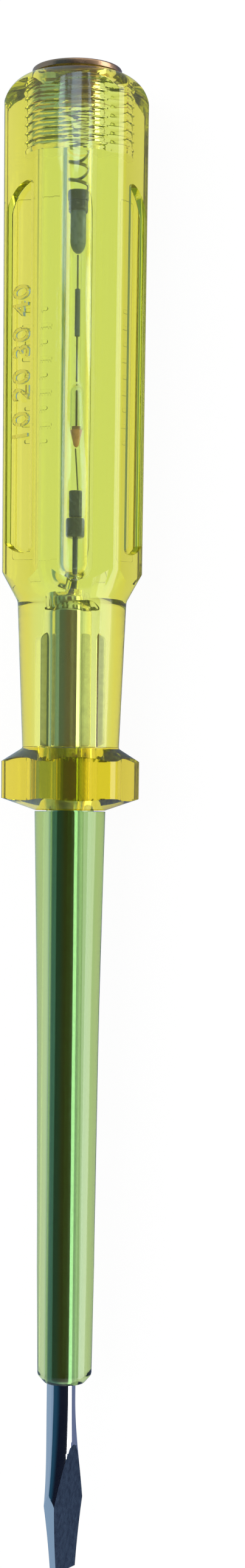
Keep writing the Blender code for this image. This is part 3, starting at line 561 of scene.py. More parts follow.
def opaque(name, shade, metallic, roughness, shades, wear, tone, grain, depth):
    """Opaque finish whose tone and roughness follow one pattern, with the fine relief of another."""
    material, tree, shader = finish_nodes(name)
    shader.inputs["Metallic"].default_value = metallic
    mottle = pattern(tree, *tone)
    darkest, lightest = (darker(shade, factor) for factor in shades)
    tree.links.new(tint(tree, mottle, darkest, lightest), shader.inputs["Base Color"])
    worn = spread(tree, mottle, roughness * (1 - wear), roughness * (1 + wear))
    tree.links.new(worn, shader.inputs["Roughness"])
    relief(tree, pattern(tree, *grain), shader, depth)
    return material


def plated_metal(name, shade, roughness, depth, stretch=(1.0, 0.05, 1.0)):
    """Smooth metal with drawing lines along the tool and slight changes of tone."""
    tone, grain = (500.0, stretch), (2600.0, stretch, 4.0)
    return opaque(name, shade, 1.0, roughness, (0.9, 1.0), 0.3, tone, grain, depth)


def dull_metal(name, shade, roughness, depth):
    """Ground or cast surface with an even grain."""
    tone, grain = (2200.0, (1.0, 0.6, 1.0), 6.0), (5000.0, (1.0, 1.0, 1.0), 6.0)
    return opaque(name, shade, 1.0, roughness, (0.7, 1.25), 0.2, tone, grain, depth)


def lacquer(name, shade, roughness, metallic=0.0):
    """Opaque lacquer or moulded plastic with a slight mottle."""
    return opaque(name, shade, metallic, roughness, (0.75, 1.2), 0.2, (1500.0,), (3500.0,), 0.00001)


def bulb_glass():
    """Clear glass of the lamp."""
    material, tree, shader = finish_nodes("bulb_glass")
    shader.inputs["Transmission Weight"].default_value = 1.0
    shader.inputs["IOR"].default_value = 1.5
    cloud = pattern(tree, 900.0)
    tree.links.new(tint(tree, cloud, (0.86, 0.90, 0.92), (0.97, 0.98, 0.98)), shader.inputs["Base Color"])
    tree.links.new(spread(tree, cloud, 0.0, 0.04), shader.inputs["Roughness"])
    return material


def dress(piece, material, node, body):
    """Give a piece its finish and its body, and hide the CAD node that it stands in for."""
    piece.data.materials.clear()
    piece.data.materials.append(material)
    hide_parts(node)
    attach(piece, body)


def stations(context):
    """The handle's stations, worked out from its sizes."""
    sizes = context.scene.tester_handle
    marks = {"guard_face_bottom": GUARD_BOTTOM + sizes.guard_cone}
    marks["guard_face_top"] = marks["guard_face_bottom"] + sizes.guard_face
    marks["guard_middle"] = (marks["guard_face_bottom"] + marks["guard_face_top"]) / 2
    marks["neck_bottom"] = marks["guard_face_top"] + sizes.guard_upper_cone
    marks["neck_top"] = marks["neck_bottom"] + sizes.neck_length
    marks["grip_bottom"] = marks["neck_top"] + sizes.flare_length
    marks["shoulder"] = marks["grip_bottom"] + sizes.grip_length
    marks["thread_floor"] = LAND - sizes.thread_depth
    marks["bore_floor"] = marks["neck_top"] + sizes.bore_floor_above_neck
    rise = (sizes.across_flats - sizes.guard_across_flats) / 2
    marks["slope"] = rise / (marks["shoulder"] - marks["guard_middle"])
    marks["panel_top"] = marks["shoulder"] - sizes.panel_to_shoulder
    marks["panel_foot"] = marks["grip_bottom"] + sizes.panel_to_flare
    return marks


def flat_distance(context, station):
    """Distance of the handle's flats from the axis at a station."""
    marks = stations(context)
    middle = context.scene.tester_handle.guard_across_flats / 2
    return middle + marks["slope"] * (station - marks["guard_middle"])


def corner_distance(context, station):
    """Distance of the handle's rounded corners from the axis at a station."""
    sharp = flat_distance(context, station) / math.cos(HALF_HEXAGON)
    return sharp - context.scene.tester_handle.corner_radius * (1 / math.cos(HALF_HEXAGON) - 1)


def about_axis(degrees):
    """A turn about the tool's axis, from up towards +X."""
    centre = Matrix.Translation((0, 0, AXIS))
    return centre @ Matrix.Rotation(math.radians(degrees), 4, "Y") @ centre.inverted()


def hexagonal_bar(context):
    """The tapering six-sided bar with soft corners that the handle is turned from."""
    sizes = context.scene.tester_handle
    low, high = GUARD_BOTTOM - OVERRUN, LAND + OVERRUN
    put_down()
    bpy.ops.mesh.primitive_cone_add(
        vertices=6,
        radius1=flat_distance(context, low) / math.cos(HALF_HEXAGON),
        radius2=flat_distance(context, high) / math.cos(HALF_HEXAGON),
        depth=high - low,
    )
    bar = bpy.context.object
    bar.name = "handle_clear"
    turn = Matrix.Rotation(HALF_HEXAGON, 4, "Y") @ Matrix.Rotation(math.radians(-90), 4, "X")
    place(bar, Matrix.Translation((0, TIP + (low + high) / 2, AXIS)) @ turn)
    edit(bar)
    pick(bar, "edges", lambda edge: abs(edge.verts[0].co.y - edge.verts[1].co.y) > OVERRUN)
    offset = sizes.corner_radius * math.tan(HALF_HEXAGON)
    soften(offset, 16)
    put_down()
    return bar


def handle_lathe(context):
    """Turned envelope of the handle: guard, neck, flare, grip and rounded shoulder."""
    sizes = context.scene.tester_handle
    marks = stations(context)
    widest = corner_distance(context, marks["shoulder"]) + sizes.turning_allowance
    guard_corner = corner_distance(context, marks["guard_middle"])
    sheath_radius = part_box("blade_sheath")[1].x
    lower_rim = (GUARD_BOTTOM, sheath_radius)
    lower_corner = (marks["guard_face_bottom"], guard_corner)
    upper_corner = (marks["guard_face_top"], guard_corner)
    foot = (marks["neck_bottom"], sizes.neck_bottom_radius)
    head = (marks["neck_top"], sizes.neck_top_radius)
    flare = (marks["grip_bottom"], corner_distance(context, marks["grip_bottom"]))
    profile = [(GUARD_BOTTOM, 0), lower_rim, carried_on(lower_rim, lower_corner, widest)]
    profile += [carried_on(foot, upper_corner, widest)]
    profile += rounded_corner(upper_corner, foot, head, 0.0003, 3)
    profile += rounded_corner(foot, head, flare, sizes.flare_fillet, 8)
    profile += [carried_on(head, flare, widest)]
    radius = sizes.shoulder_radius
    sweep = math.degrees(math.acos(1 - (widest - sizes.land_radius) / radius))
    profile += arc((marks["shoulder"], widest - radius), radius, 90, 90 - sweep, 24)
    profile += [(LAND, 0)]
    return turned("handle_lathe", profile, 144)


def bore_cutter(context):
    """Everything hollow along the handle's axis, with the thread that takes the cap."""
    sizes = context.scene.tester_handle
    metal = context.scene.tester_metal
    marks = stations(context)
    floor = marks["bore_floor"]
    well = sizes.bore_bottom_radius
    dome = sizes.neck_bore_radius
    low, step = GUARD_BOTTOM - OVERRUN, SPIGOT_TOP + SEAT
    profile = [(low, 0), (low, SOCKET_RADIUS), (step, SOCKET_RADIUS), (step, dome)]
    dome_end, well_start = (math.degrees(math.asin(WEB_HOLE_RADIUS / radius)) for radius in (dome, well))
    profile += arc((floor - WEB_THICKNESS - dome, 0), dome, 90, dome_end, 16)
    profile += arc((floor + well, 0), well, 180 - well_start, 90, 16)
    thread_floor = marks["thread_floor"]
    radius = metal.hole_thread_radius
    profile += [(thread_floor, sizes.bore_top_radius), (thread_floor, radius)]
    rings = round((LAND - thread_floor) / metal.thread_pitch * RINGS_PER_TURN)
    profile += thread_rings(thread_floor, LAND, radius, rings)
    mouth = radius + MOUTH_CHAMFER
    profile += [(LAND, mouth), (LAND + OVERRUN, mouth + OVERRUN), (LAND + OVERRUN, 0)]
    cutter = turned("bore_cutter", profile, metal.round_steps)
    cut_thread(cutter, thread_floor, LAND - MOUTH_CHAMFER, radius, metal.thread_height, metal.thread_pitch)
    return cutter


def rounded_plate(name, size, corner, steps):
    """A plate about the origin whose upright corners are rounded."""
    put_down()
    bpy.ops.mesh.primitive_cube_add(size=1.0)
    plate = bpy.context.object
    plate.name = name
    plate.scale = size
    settle(plate)
    edit(plate)
    pick(plate, "edges", lambda edge: abs(edge.verts[0].co.z - edge.verts[1].co.z) > size[2] / 2)
    soften(corner, steps)
    put_down()
    return plate


def on_flat(context, station, depth, turn_deg):
    """The place on one of the handle's flats, sunk by a depth, with Y along the tool."""
    height = flat_distance(context, station) - depth
    tilt = Matrix.Rotation(math.atan(stations(context)["slope"]), 4, "X")
    return about_axis(turn_deg) @ Matrix.Translation((0, TIP + station, AXIS + height)) @ tilt


def raised_digits(context, depth):
    """Plain raised numbers along the left panel."""
    sizes = context.scene.tester_handle
    put_down()
    bpy.ops.object.text_add()
    words = bpy.context.object
    words.data.body = sizes.digits
    words.data.size = sizes.digit_height / 0.7
    words.data.align_x = "CENTER"
    words.data.align_y = "CENTER"
    words.data.extrude = sizes.digit_relief
    words.data.resolution_u = 4
    bpy.ops.object.convert(target="MESH")
    words = bpy.context.object
    words.name = "raised_digits"
    words.scale.x = sizes.digits_length / words.dimensions.x
    settle(words)
    quarter = Matrix.Translation((-0.0003, 0, 0)) @ Matrix.Rotation(math.radians(90), 4, "Z")
    place(words, on_flat(context, sizes.digits_middle, depth, -60) @ quarter)
    return tidy(words)


def swept_end(context, corner_radius, sweep):
    """One end of a side panel, front edge to back edge, as (distance from the end, across) points."""
    sizes = context.scene.tester_handle
    start = corner_radius - sizes.side_panel_front
    across = sizes.side_panel_back - start
    radius = (across ** 2 + sweep ** 2) / (2 * sweep)
    sweep_deg = 2 * math.degrees(math.atan2(sweep, across))
    points = arc((corner_radius, start), corner_radius, 270, 180, 6)
    points += arc((radius, start), radius, 180, 180 - sweep_deg, 20)[1:]
    return points


def panel_cutter(context, side):
    """Cutter for a side panel, nearly square in front and swept off behind, or for the one below."""
    sizes = context.scene.tester_handle
    marks = stations(context)
    middle = (marks["panel_top"] + marks["panel_foot"]) / 2
    half = (marks["panel_top"] - marks["panel_foot"]) / 2
    height = sizes.panel_depth + OVERRUN
    if side:
        outline = []
        for inset, across in swept_end(context, sizes.side_panel_top_corner, sizes.side_panel_top_sweep):
            outline.append((side * across, half - inset, 0))
        foot = swept_end(context, sizes.side_panel_foot_corner, sizes.side_panel_foot_sweep)
        for inset, across in reversed(foot):
            outline.append((side * across, inset - half, 0))
        panel = extruded_outline("panel_cutter", outline, (0, 0, height))
    else:
        size = (sizes.lower_panel_width, 2 * half, height)
        panel = rounded_plate("panel_cutter", size, sizes.lower_panel_corner, 6)
    edit(panel)
    pick(panel, "edges", lambda edge: max(vertex.co.z for vertex in edge.verts) < 0)
    soften(PANEL_EDGE, 2)
    put_down()
    turn_deg = side * 60 if side else 180
    return place(panel, on_flat(context, middle, sizes.panel_depth - height / 2, turn_deg))


def shape_handle(context):
    """The clear handle, from the bar to its panels, bores and numbers."""
    sizes = context.scene.tester_handle
    metal = context.scene.tester_metal
    marks = stations(context)
    handle = hexagonal_bar(context)
    boolean(handle, "INTERSECT", handle_lathe(context))
    for side in (-1, 1, 0):
        boolean(handle, "DIFFERENCE", panel_cutter(context, side))
    boolean(handle, "UNION", raised_digits(context, sizes.panel_depth))
    for number in range(-4, 5):
        size = (TICK_LENGTHS[number % 2], TICK_WIDTH, TICK_HEIGHT)
        tick = rounded_plate("tick", size, TICK_CORNER, 3)
        station = sizes.digits_middle + number * sizes.tick_pitch
        place(tick, on_flat(context, station, sizes.panel_depth - TICK_SINK, 180))
        boolean(handle, "UNION", tick)
    cutter = bore_cutter(context)
    hole_radius = metal.shank_radius + FIT
    hole_low = marks["bore_floor"] - WEB_THICKNESS - sizes.neck_bore_radius
    hole = [(hole_low, 0), (hole_low, hole_radius), (SHANK_TOP + FIT, hole_radius), (SHANK_TOP + FIT, 0)]
    boolean(cutter, "UNION", turned("shank_hole", hole, 64, (-metal.shank_offset, 0)))
    width, ear_length, thickness = EAR_SIZE
    ear_bottom = SPIGOT_TOP - OVERRUN
    ear_top = SPIGOT_TOP + EAR_LIFT + ear_length + FIT
    slot_size = (width + 2 * FIT, ear_top - ear_bottom, thickness + 2 * FIT)
    slot = rounded_plate("ear_slot", slot_size, EAR_CORNER + FIT, 6)
    place(slot, Matrix.Translation((0, TIP + (ear_bottom + ear_top) / 2, AXIS)))
    boolean(cutter, "UNION", slot)
    boolean(handle, "DIFFERENCE", cutter)
    weigh_normals(handle)
    return handle


class TESTER_OT_handle(bpy.types.Operator):
    """Model the clear handle with its guard, neck, panels, thread and bores"""

    bl_idname = "tester.handle"
    bl_label = "Clear handle"

    def execute(self, context):
        colours = context.scene.tester_colours
        handle = shape_handle(context)
        finish = clear_plastic(
            "handle_plastic",
            colours.handle,
            colours.handle_edge,
            colours.handle_depth,
            density=130.0,
            ripple=0.00003,
            haze=0.025,
            deep_below=stations(context)["neck_bottom"],
        )
        dress(handle, finish, "handle", "handle")
        return {"FINISHED"}


class TESTER_OT_sheath(bpy.types.Operator):
    """Model the clear insulating sheath on the shank"""

    bl_idname = "tester.sheath"
    bl_label = "Blade sheath"

    def execute(self, context):
        metal = context.scene.tester_metal
        colours = context.scene.tester_colours
        top = GUARD_BOTTOM - FIT
        knee, waist = GUARD_BOTTOM - SHEATH_KNEE, GUARD_BOTTOM - SHEATH_WAIST
        profile = [(SHEATH_END, 0), (SHEATH_END, 0.00255), (SHEATH_END + 0.0002, 0.00275)]
        profile += [(SHEATH_END + 0.0009, 0.00335), (SHEATH_END + 0.0012, 0.00343)]
        profile += [(knee - SHEATH_EASE, 0.00362), (knee, 0.00366), (knee + SHEATH_EASE, 0.00373)]
        profile += [(waist - SHEATH_EASE, 0.00388), (waist, 0.00397), (waist + SHEATH_EASE, 0.00409)]
        profile += [(top, 0.00447)]
        profile += [(top, SPIGOT_RADIUS), (SPIGOT_TOP, SPIGOT_RADIUS), (SPIGOT_TOP, 0)]
        sheath = turned("sheath_clear", profile, metal.round_steps)
        low, high = SHEATH_END - OVERRUN, SPIGOT_TOP + OVERRUN
        bore = [(low, 0), (low, metal.sheath_bore_radius), (high, metal.sheath_bore_radius), (high, 0)]
        shift = (-metal.sheath_bore_offset, 0)
        boolean(sheath, "DIFFERENCE", turned("sheath_bore", bore, metal.round_steps, shift))
        weigh_normals(sheath)
        finish = clear_plastic(
            "sheath_plastic",
            colours.sheath,
            colours.sheath_edge,
            colours.sheath_depth,
            density=200.0,
            ripple=0.00004,
        )
        dress(sheath, finish, "blade_sheath", "handle")
        return {"FINISHED"}


def forged_share(context, station):
    """How far the forging has spread: 0 on the shank, 1 where the side grinds start."""
    metal = context.scene.tester_metal
    return max(metal.forged_length - station, 0) / (metal.forged_length - metal.ground_side_length)


def blade_place():
    """The tool's axis, turned as the flats of the blade are."""
    return Matrix.Translation((0, TIP, AXIS)) @ Matrix.Rotation(math.radians(BLADE_TURN_DEG), 4, "Y")


def shape_blade(context):
    """Round shank drawn out ring by ring, spread at its end and trimmed by its grinds."""
    metal = context.scene.tester_metal
    rounding = SHANK_END_ROUNDING
    radius = metal.shank_radius
    marks = [metal.forged_length * step / 30 for step in range(31)]
    marks += [SHANK_TOP - rounding + rounding * math.sin(math.radians(angle)) for angle in range(0, 91, 15)]
    put_down()
    bpy.ops.mesh.primitive_circle_add(vertices=72, radius=radius, fill_type="NGON")
    blade = bpy.context.object
    blade.name = "blade_steel"
    place(blade, Matrix.Rotation(math.radians(-90), 4, "X"))
    edit(blade)
    bpy.ops.mesh.select_all(action="SELECT")
    here, wide, thick = Vector((0, 0, 0)), radius, radius
    for number, station in enumerate(marks):
        share = forged_share(context, station)
        half_width = radius + (metal.forged_half_width - radius) * share ** FORGE_CURVE
        half_thickness = radius
        if station > SHANK_TOP - rounding:
            drop = 1 - math.sqrt(max(0, 1 - ((station - SHANK_TOP + rounding) / rounding) ** 2))
            half_width = half_thickness = radius - rounding * drop
        eased = min(share, 1)
        shift = -metal.shank_offset * (1 - eased * eased * (3 - 2 * eased))
        along = Matrix.Rotation(math.radians(-BLADE_TURN_DEG), 3, "Y") @ Vector((shift, 0, 0))
        there = along + Vector((0, station, 0))
        if number:
            bpy.ops.mesh.extrude_region_move(TRANSFORM_OT_translate={"value": there - here})
        else:
            bpy.ops.transform.translate(value=there - here)
        scale = (half_width / wide, 1, half_thickness / thick)
        bpy.ops.transform.resize(value=scale, center_override=there)
        here, wide, thick = there, half_width, half_thickness
    put_down()
    tidy(blade)
    place(blade, blade_place())
    boolean(blade, "INTERSECT", flat_grind(context))
    boolean(blade, "INTERSECT", side_grind(context))
    ears = rounded_plate("ears", EAR_SIZE, EAR_CORNER, 6)
    edit(ears)
    bpy.ops.mesh.select_all(action="SELECT")
    soften(EAR_EDGE, 2)
    place(ears, Matrix.Translation((0, TIP + SPIGOT_TOP + EAR_LIFT + EAR_SIZE[1] / 2, AXIS)))
    boolean(blade, "UNION", ears)
    return blade


def extruded_outline(name, points, reach):
    """A closed outline extruded both ways by a reach along the given vector."""
    half = Vector(reach)
    outline = [Vector(point) - half for point in points]
    piece = start_chain(name, outline[0])
    draw_chain(outline + [outline[0]])
    bpy.ops.mesh.select_all(action="SELECT")
    bpy.ops.mesh.remove_doubles(threshold=MERGE_DISTANCE)
    bpy.ops.mesh.edge_face_add()
    bpy.ops.mesh.extrude_region_move(TRANSFORM_OT_translate={"value": 2 * half})
    put_down()
    settle(piece)
    return tidy(piece)


def flat_grind(context):
    """Trimming shape for the two hollow-ground flats."""
    metal = context.scene.tester_metal
    outside = metal.shank_radius + OVERRUN
    rise = (metal.shank_radius - metal.tip_half_thickness) / metal.ground_flat_length ** 2
    end = math.sqrt((outside - metal.tip_half_thickness) / rise)
    side = [(metal.tip_half_thickness, -OVERRUN)]
    for step in range(31):
        station = end * step / 30
        side.append((metal.tip_half_thickness + rise * station ** 2, station))
    side.append((outside, SHANK_TOP + OVERRUN))
    outline = side + [(-thickness, station) for thickness, station in reversed(side)]
    points = [(0, station, thickness) for thickness, station in outline]
    cutter = extruded_outline("flat_grind", points, (GRIND_REACH, 0, 0))
    return place(cutter, blade_place())


def side_grind(context):
    """Trimming shape for the two ground edges."""
    metal = context.scene.tester_metal
    slope = (metal.ground_half_width - metal.tip_half_width) / metal.ground_side_length
    outside = GRIND_REACH
    end = (outside - metal.tip_half_width) / slope
    side = [(metal.tip_half_width - slope * OVERRUN, -OVERRUN), (outside, end)]
    side.append((outside, SHANK_TOP + OVERRUN))
    outline = side + [(-width, station) for width, station in reversed(side)]
    points = [(width, station, 0) for width, station in outline]
    cutter = extruded_outline("side_grind", points, (0, 0, 0.004))
    return place(cutter, blade_place())


def blade_finish(metal, face):
    """Which finish a face of the blade has: 0 plated, 1 ground, 2 the satin of the ears."""
    turn = Matrix.Rotation(math.radians(-BLADE_TURN_DEG), 3, "Y")
    station = face.center.y - TIP
    across = turn @ (face.center - Vector((0, 0, AXIS)))
    ear_middle = EAR_LIFT + EAR_SIZE[1] / 2
    on_ears = abs(station - SPIGOT_TOP - ear_middle) < EAR_SIZE[1] / 2 + 0.0001
    on_ears = on_ears and abs(face.center.z - AXIS) < EAR_SIZE[2] / 2 + 0.00002
    if on_ears and abs(face.center.x + metal.shank_offset) > metal.shank_radius * 0.9:
        return 2
    rise = (metal.shank_radius - metal.tip_half_thickness) / metal.ground_flat_length ** 2
    on_grind = abs(abs(across.z) - metal.tip_half_thickness - rise * station ** 2) < 0.00002
    faces_out = abs((turn @ face.normal).z) > 0.9
    return int(on_grind and faces_out and station < metal.ground_flat_length * 1.15)


class TESTER_OT_blade(bpy.types.Operator):
    """Model the steel blade with its swaged ears and ground tip"""

    bl_idname = "tester.blade"
    bl_label = "Steel blade"

    def execute(self, context):
        metal = context.scene.tester_metal
        colours = context.scene.tester_colours
        blade = shape_blade(context)
        weigh_normals(blade, 24.0)
        plated = plated_metal("shank_plating", colours.chrome, 0.10, 0.000004)
        ground = dull_metal("ground_steel", colours.ground, 0.42, 0.000012)
        dress(blade, plated, "blade", "handle")
        blade.data.materials.append(ground)
        blade.data.materials.append(lacquer("ear_satin", colours.ears, 0.4))
        for face in blade.data.polygons:
            face.material_index = blade_finish(metal, face)
        return {"FINISHED"}


class TESTER_OT_cap(bpy.types.Operator):
    """Model the threaded contact cap"""

    bl_idname = "tester.cap"
    bl_label = "Contact cap"

    def execute(self, context):
        metal = context.scene.tester_metal
        colours = context.scene.tester_colours
        rim = metal.cap_rim_radius
        radius = metal.cap_shank_radius
        low, seat = LAND - metal.cap_shank_length, LAND + FIT
        well_top = TOOL_END - CAP_CROWN
        foot = rim - CAP_EDGE
        sphere = (foot ** 2 + CAP_DOME ** 2) / 2 / CAP_DOME
        swing = math.degrees(math.asin(foot / sphere))
        profile = [(well_top, 0), (well_top, CAP_WELL_RADIUS), (low, CAP_WELL_RADIUS)]
        profile += [(low, radius - 2 * CAP_LEAD_IN), (low + CAP_LEAD_IN, radius)]
        rings = round((seat - low) / metal.thread_pitch * RINGS_PER_TURN)
        profile += thread_rings(low + CAP_LEAD_IN, seat - CAP_LEAD_IN, radius, rings)
        profile += [(seat, radius), (seat, rim - SMALL_EDGE), (seat + SMALL_EDGE, rim)]
        profile += arc((TOOL_END - CAP_DOME - CAP_EDGE, foot), CAP_EDGE, 90, 0, 6)[:-1]
        profile += arc((TOOL_END - sphere, 0), sphere, swing, 0, 24)[:-1]
        profile += [(TOOL_END, 0)]
        cap = turned("cap_copper", profile, metal.round_steps)
        cut_thread(cap, low, seat - CAP_LEAD_IN, radius, metal.thread_height, metal.thread_pitch)
        take_up(cap)
        bpy.ops.object.shade_smooth_by_angle(angle=math.radians(30))
        finish = plated_metal("cap_copper_finish", colours.copper, 0.28, 0.00001, (1.0, 1.0, 1.0))
        dress(cap, finish, "contact_cap", "cap")
        return {"FINISHED"}


class TESTER_OT_spring(bpy.types.Operator):
    """Wind the contact spring between the resistor and the cap"""

    bl_idname = "tester.spring"
    bl_label = "Contact spring"

    def execute(self, context):
        metal = context.scene.tester_metal
        colours = context.scene.tester_colours
        low, high = (corner.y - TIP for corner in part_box("contact_spring"))
        wire = metal.wire_radius
        put_down()
        bpy.ops.mesh.primitive_circle_add(
            vertices=12, radius=wire, location=(metal.coil_radius, TIP + low + wire, AXIS)
        )
        spring = bpy.context.object
        spring.name = "spring_wire"
        settle(spring)
        steps_per_turn = 40
        bpy.ops.object.modifier_add(type="SCREW")
        screw = spring.modifiers[-1]
        screw.axis = "Y"
        screw.angle = -math.tau * metal.coil_turns
        screw.screw_offset = high - low - 2 * wire
        screw.steps = screw.render_steps = round(steps_per_turn * metal.coil_turns)
        screw.use_smooth_shade = True
        screw.object = self.pivot()
        bpy.ops.object.modifier_apply(modifier=screw.name)
        bpy.data.objects.remove(bpy.data.objects["coil_axis"], do_unlink=True)
        for at_foot in (True, False):
            self.close_end(spring, TIP + (low + high) / 2, at_foot)
        tidy(spring, 60.0)
        finish = plated_metal("spring_finish", colours.wire, 0.22, 0.000003)
        spring.data.materials.append(finish)
        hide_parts("contact_spring")
        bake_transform(spring)
        return {"FINISHED"}

    def pivot(self):
        """A guide on the tool's axis for winding the wire round it."""
        bpy.ops.object.empty_add(location=(0, 0, AXIS))
        guide = bpy.context.object
        guide.name = "coil_axis"
        take_up(bpy.data.objects["spring_wire"])
        return guide

    def close_end(self, spring, half, at_foot):
        """Fill the open ring at one end of the wire."""
        edit(spring)
        bpy.ops.mesh.select_non_manifold(extend=False)
        mesh = bmesh.from_edit_mesh(spring.data)
        for edge in mesh.edges:
            middle = (edge.verts[0].co.y + edge.verts[1].co.y) / 2
            if edge.select and (middle < half) != at_foot:
                edge.select_set(False)
        mesh.select_flush_mode()
        bmesh.update_edit_mesh(spring.data)
        bpy.ops.mesh.edge_face_add()
        put_down()


def rod(name, bottom, top, radius, edge, steps, shift=(0.0, 0.0)):
    """A turned rod with softened edges."""
    profile = [(bottom, 0)]
    profile += arc((bottom + edge, radius - edge), edge, 180, 90, 5)
    profile += arc((top - edge, radius - edge), edge, 90, 0, 5)
    profile += [(top, 0)]
    return turned(name, profile, steps, shift)


def reach(node):
    """The lowest and highest station of a CAD node, and its radius."""
    low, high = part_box(node)
    return low.y - TIP, high.y - TIP, (high.x - low.x) / 2


class TESTER_OT_resistor(bpy.types.Operator):
    """Model the resistor with its end cap, lead and sleeve"""

    bl_idname = "tester.resistor"
    bl_label = "Resistor"

    def execute(self, context):
        colours = context.scene.tester_colours
        slate = lacquer("resistor_cap_finish", darker(colours.slate, 0.42), 0.25, 0.2)
        body = lacquer("resistor_lacquer", colours.slate, 0.3)
        wire = plated_metal("lead_tinning", colours.wire, 0.3, 0.000004)
        sleeving = lacquer("sleeving", darker(colours.slate, 0.7), 0.5)
        low, high, radius = reach("resistor_cap")
        inside = reach("resistor")[2] + FIT
        shoulder = high - FLANGE_HEIGHT
        profile = [(shoulder, 0), (shoulder, inside), (low, inside), (low, inside + CAP_SKIRT_WALL)]
        profile += [(shoulder - SMALL_EDGE, inside + CAP_SKIRT_WALL), (shoulder, inside + SMALL_EDGE)]
        profile += arc((shoulder + 0.0002, radius - 0.0002), 0.0002, 180, 90, 4)
        profile += arc((high - SOFT_EDGE, radius - SOFT_EDGE), SOFT_EDGE, 90, 0, 6)
        profile += [(high, 0)]
        dress(turned("resistor_end_cap", profile, 72), slate, "resistor_cap", "handle")
        low, high, radius = reach("resistor")
        profile = [(low, 0)] + arc((low + radius, 0), radius, 180, 90, 16)[1:]
        profile += [(high, radius), (high, 0)]
        dress(turned("resistor_rod", profile, 72), body, "resistor", "handle")
        low, high, radius = reach("resistor_lead")
        lead = rod("resistor_wire", low, high, radius, radius / 4, 20)
        dress(lead, wire, "resistor_lead", "handle")
        low, high, radius = reach("lead_sleeve")
        inside = reach("resistor_lead")[2] + SLEEVE_PLAY
        profile = [(low, inside), (low, radius - SLEEVE_EDGE), (low + SLEEVE_EDGE, radius)]
        profile += [(high - SLEEVE_EDGE, radius), (high, radius - SLEEVE_EDGE)]
        profile += [(high, inside), (low, inside)]
        dress(turned("lead_sleeving", profile, 36), sleeving, "lead_sleeve", "handle")
        return {"FINISHED"}


class TESTER_OT_lamp(bpy.types.Operator):
    """Model the neon lamp with its electrodes, seal and lead"""

    bl_idname = "tester.lamp"
    bl_label = "Neon lamp"

    def execute(self, context):
        colours = context.scene.tester_colours
        wall = BULB_WALL
        low, high, radius = reach("lamp_glass")
        centre = (high - radius, 0)
        profile = [(high, 0)] + arc(centre, radius, 0, 90, 16)[1:]
        profile += [(low, radius), (low, radius - wall)]
        profile += arc(centre, radius - wall, 90, 0, 16)[:-1] + [(high - wall, 0)]
        dress(turned("lamp_bulb", profile, 72), bulb_glass(), "lamp_glass", "handle")
        metal = dull_metal("electrode_finish", (0.30, 0.31, 0.33), 0.4, 0.000004)
        for node in ("lamp_electrode_near", "lamp_electrode_far"):
            low, high, radius = reach(node)
            depth = sum(corner.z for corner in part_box(node)) / 2 - AXIS
            piece = rod(node.replace("lamp_", "") + "_rod", low, high, radius, radius / 2, 24, (0.0, depth))
            dress(piece, metal, node, "handle")
        low, high, radius = reach("lamp_seal")
        step = high - wall - FIT
        tip = SEAL_TIP_RADIUS
        profile = [(low, 0)] + arc((low + tip, 0), tip, 180, 90, 8)[1:]
        profile += [(step, SEAL_RADIUS), (step, SEAL_NECK_RADIUS), (high, SEAL_NECK_RADIUS), (high, 0)]
        seal = lacquer("seal_coating", colours.seal, 0.3)
        dress(turned("lamp_foot", profile, 48), seal, "lamp_seal", "handle")
        low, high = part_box("lamp_lead")
        put_down()
        bpy.ops.mesh.primitive_cylinder_add(vertices=20, radius=LEAD_RADIUS, depth=high.y - low.y - 0.00004)
        lead = bpy.context.object
        lead.name = "lamp_wire"
        edit(lead)
        pick(lead, "faces", lambda face: len(face.verts) > 4)
        bpy.ops.mesh.inset(thickness=0.00005)
        bpy.ops.mesh.inset(thickness=0.00005, depth=0.00001)
        put_down()
        run = Vector((-LEAD_LEAN, high.y - low.y, 0))
        lean = run.to_track_quat("Z", "X").to_matrix().to_4x4()
        middle = Vector(((low.x + high.x) / 2, (low.y + high.y) / 2, AXIS))
        place(lead, Matrix.Translation(middle) @ lean)
        tidy(lead)
        wire = plated_metal("lamp_wire_tinning", colours.wire, 0.3, 0.000004)
        dress(lead, wire, "lamp_lead", "handle")
        return {"FINISHED"}


class TESTER_OT_contact(bpy.types.Operator):
    """Model the lower contact and the sleeve above it"""

    bl_idname = "tester.contact"
    bl_label = "Lower contact"

    def execute(self, context):
        colours = context.scene.tester_colours
        slate = lacquer("contact_finish", darker(colours.slate, 0.42), 0.25, 0.2)
        low, high, radius = reach("contact_sleeve")
        piece = rod("contact_sleeve_turned", low, high, radius, 0.00015, 60)
        dress(piece, slate, "contact_sleeve", "handle")
        low, high, radius = reach("contact_base")
        foot = high - CONTACT_HEAD
        stem = CONTACT_STEM_RADIUS
        profile = [(low, 0), (low, stem - SMALL_EDGE), (low + SMALL_EDGE, stem), (foot, stem)]
        profile += arc((foot + SOFT_EDGE, radius - SOFT_EDGE), SOFT_EDGE, 180, 90, 6)
        profile += arc((high - SOFT_EDGE, radius - SOFT_EDGE), SOFT_EDGE, 90, 0, 6)
        profile += [(high, 0)]
        piece = turned("contact_base_turned", profile, 60)
        dress(piece, slate, "contact_base", "handle")
        return {"FINISHED"}


def ray_share(tree, shares):
    """Add up shares of the kinds of ray, held between 0 and 1."""
    path = tree.nodes.new("ShaderNodeLightPath")
    total = None
    for kind, share in shares.items():
        step = tree.nodes.new("ShaderNodeMath")
        step.operation = "MULTIPLY_ADD"
        step.use_clamp = True
        tree.links.new(path.outputs[kind], step.inputs[0])
        step.inputs[1].default_value = share
        step.inputs[2].default_value = 0.0
        if total:
            tree.links.new(total, step.inputs[2])
        total = step.outputs[0]
    return total


def mixed(tree, share, first, second):
    """Two shaders mixed by a share."""
    mix = tree.nodes.new("ShaderNodeMixShader")
    for socket, source in zip(mix.inputs, (share, first, second)):
        tree.links.new(source, socket)
    return mix.outputs[0]


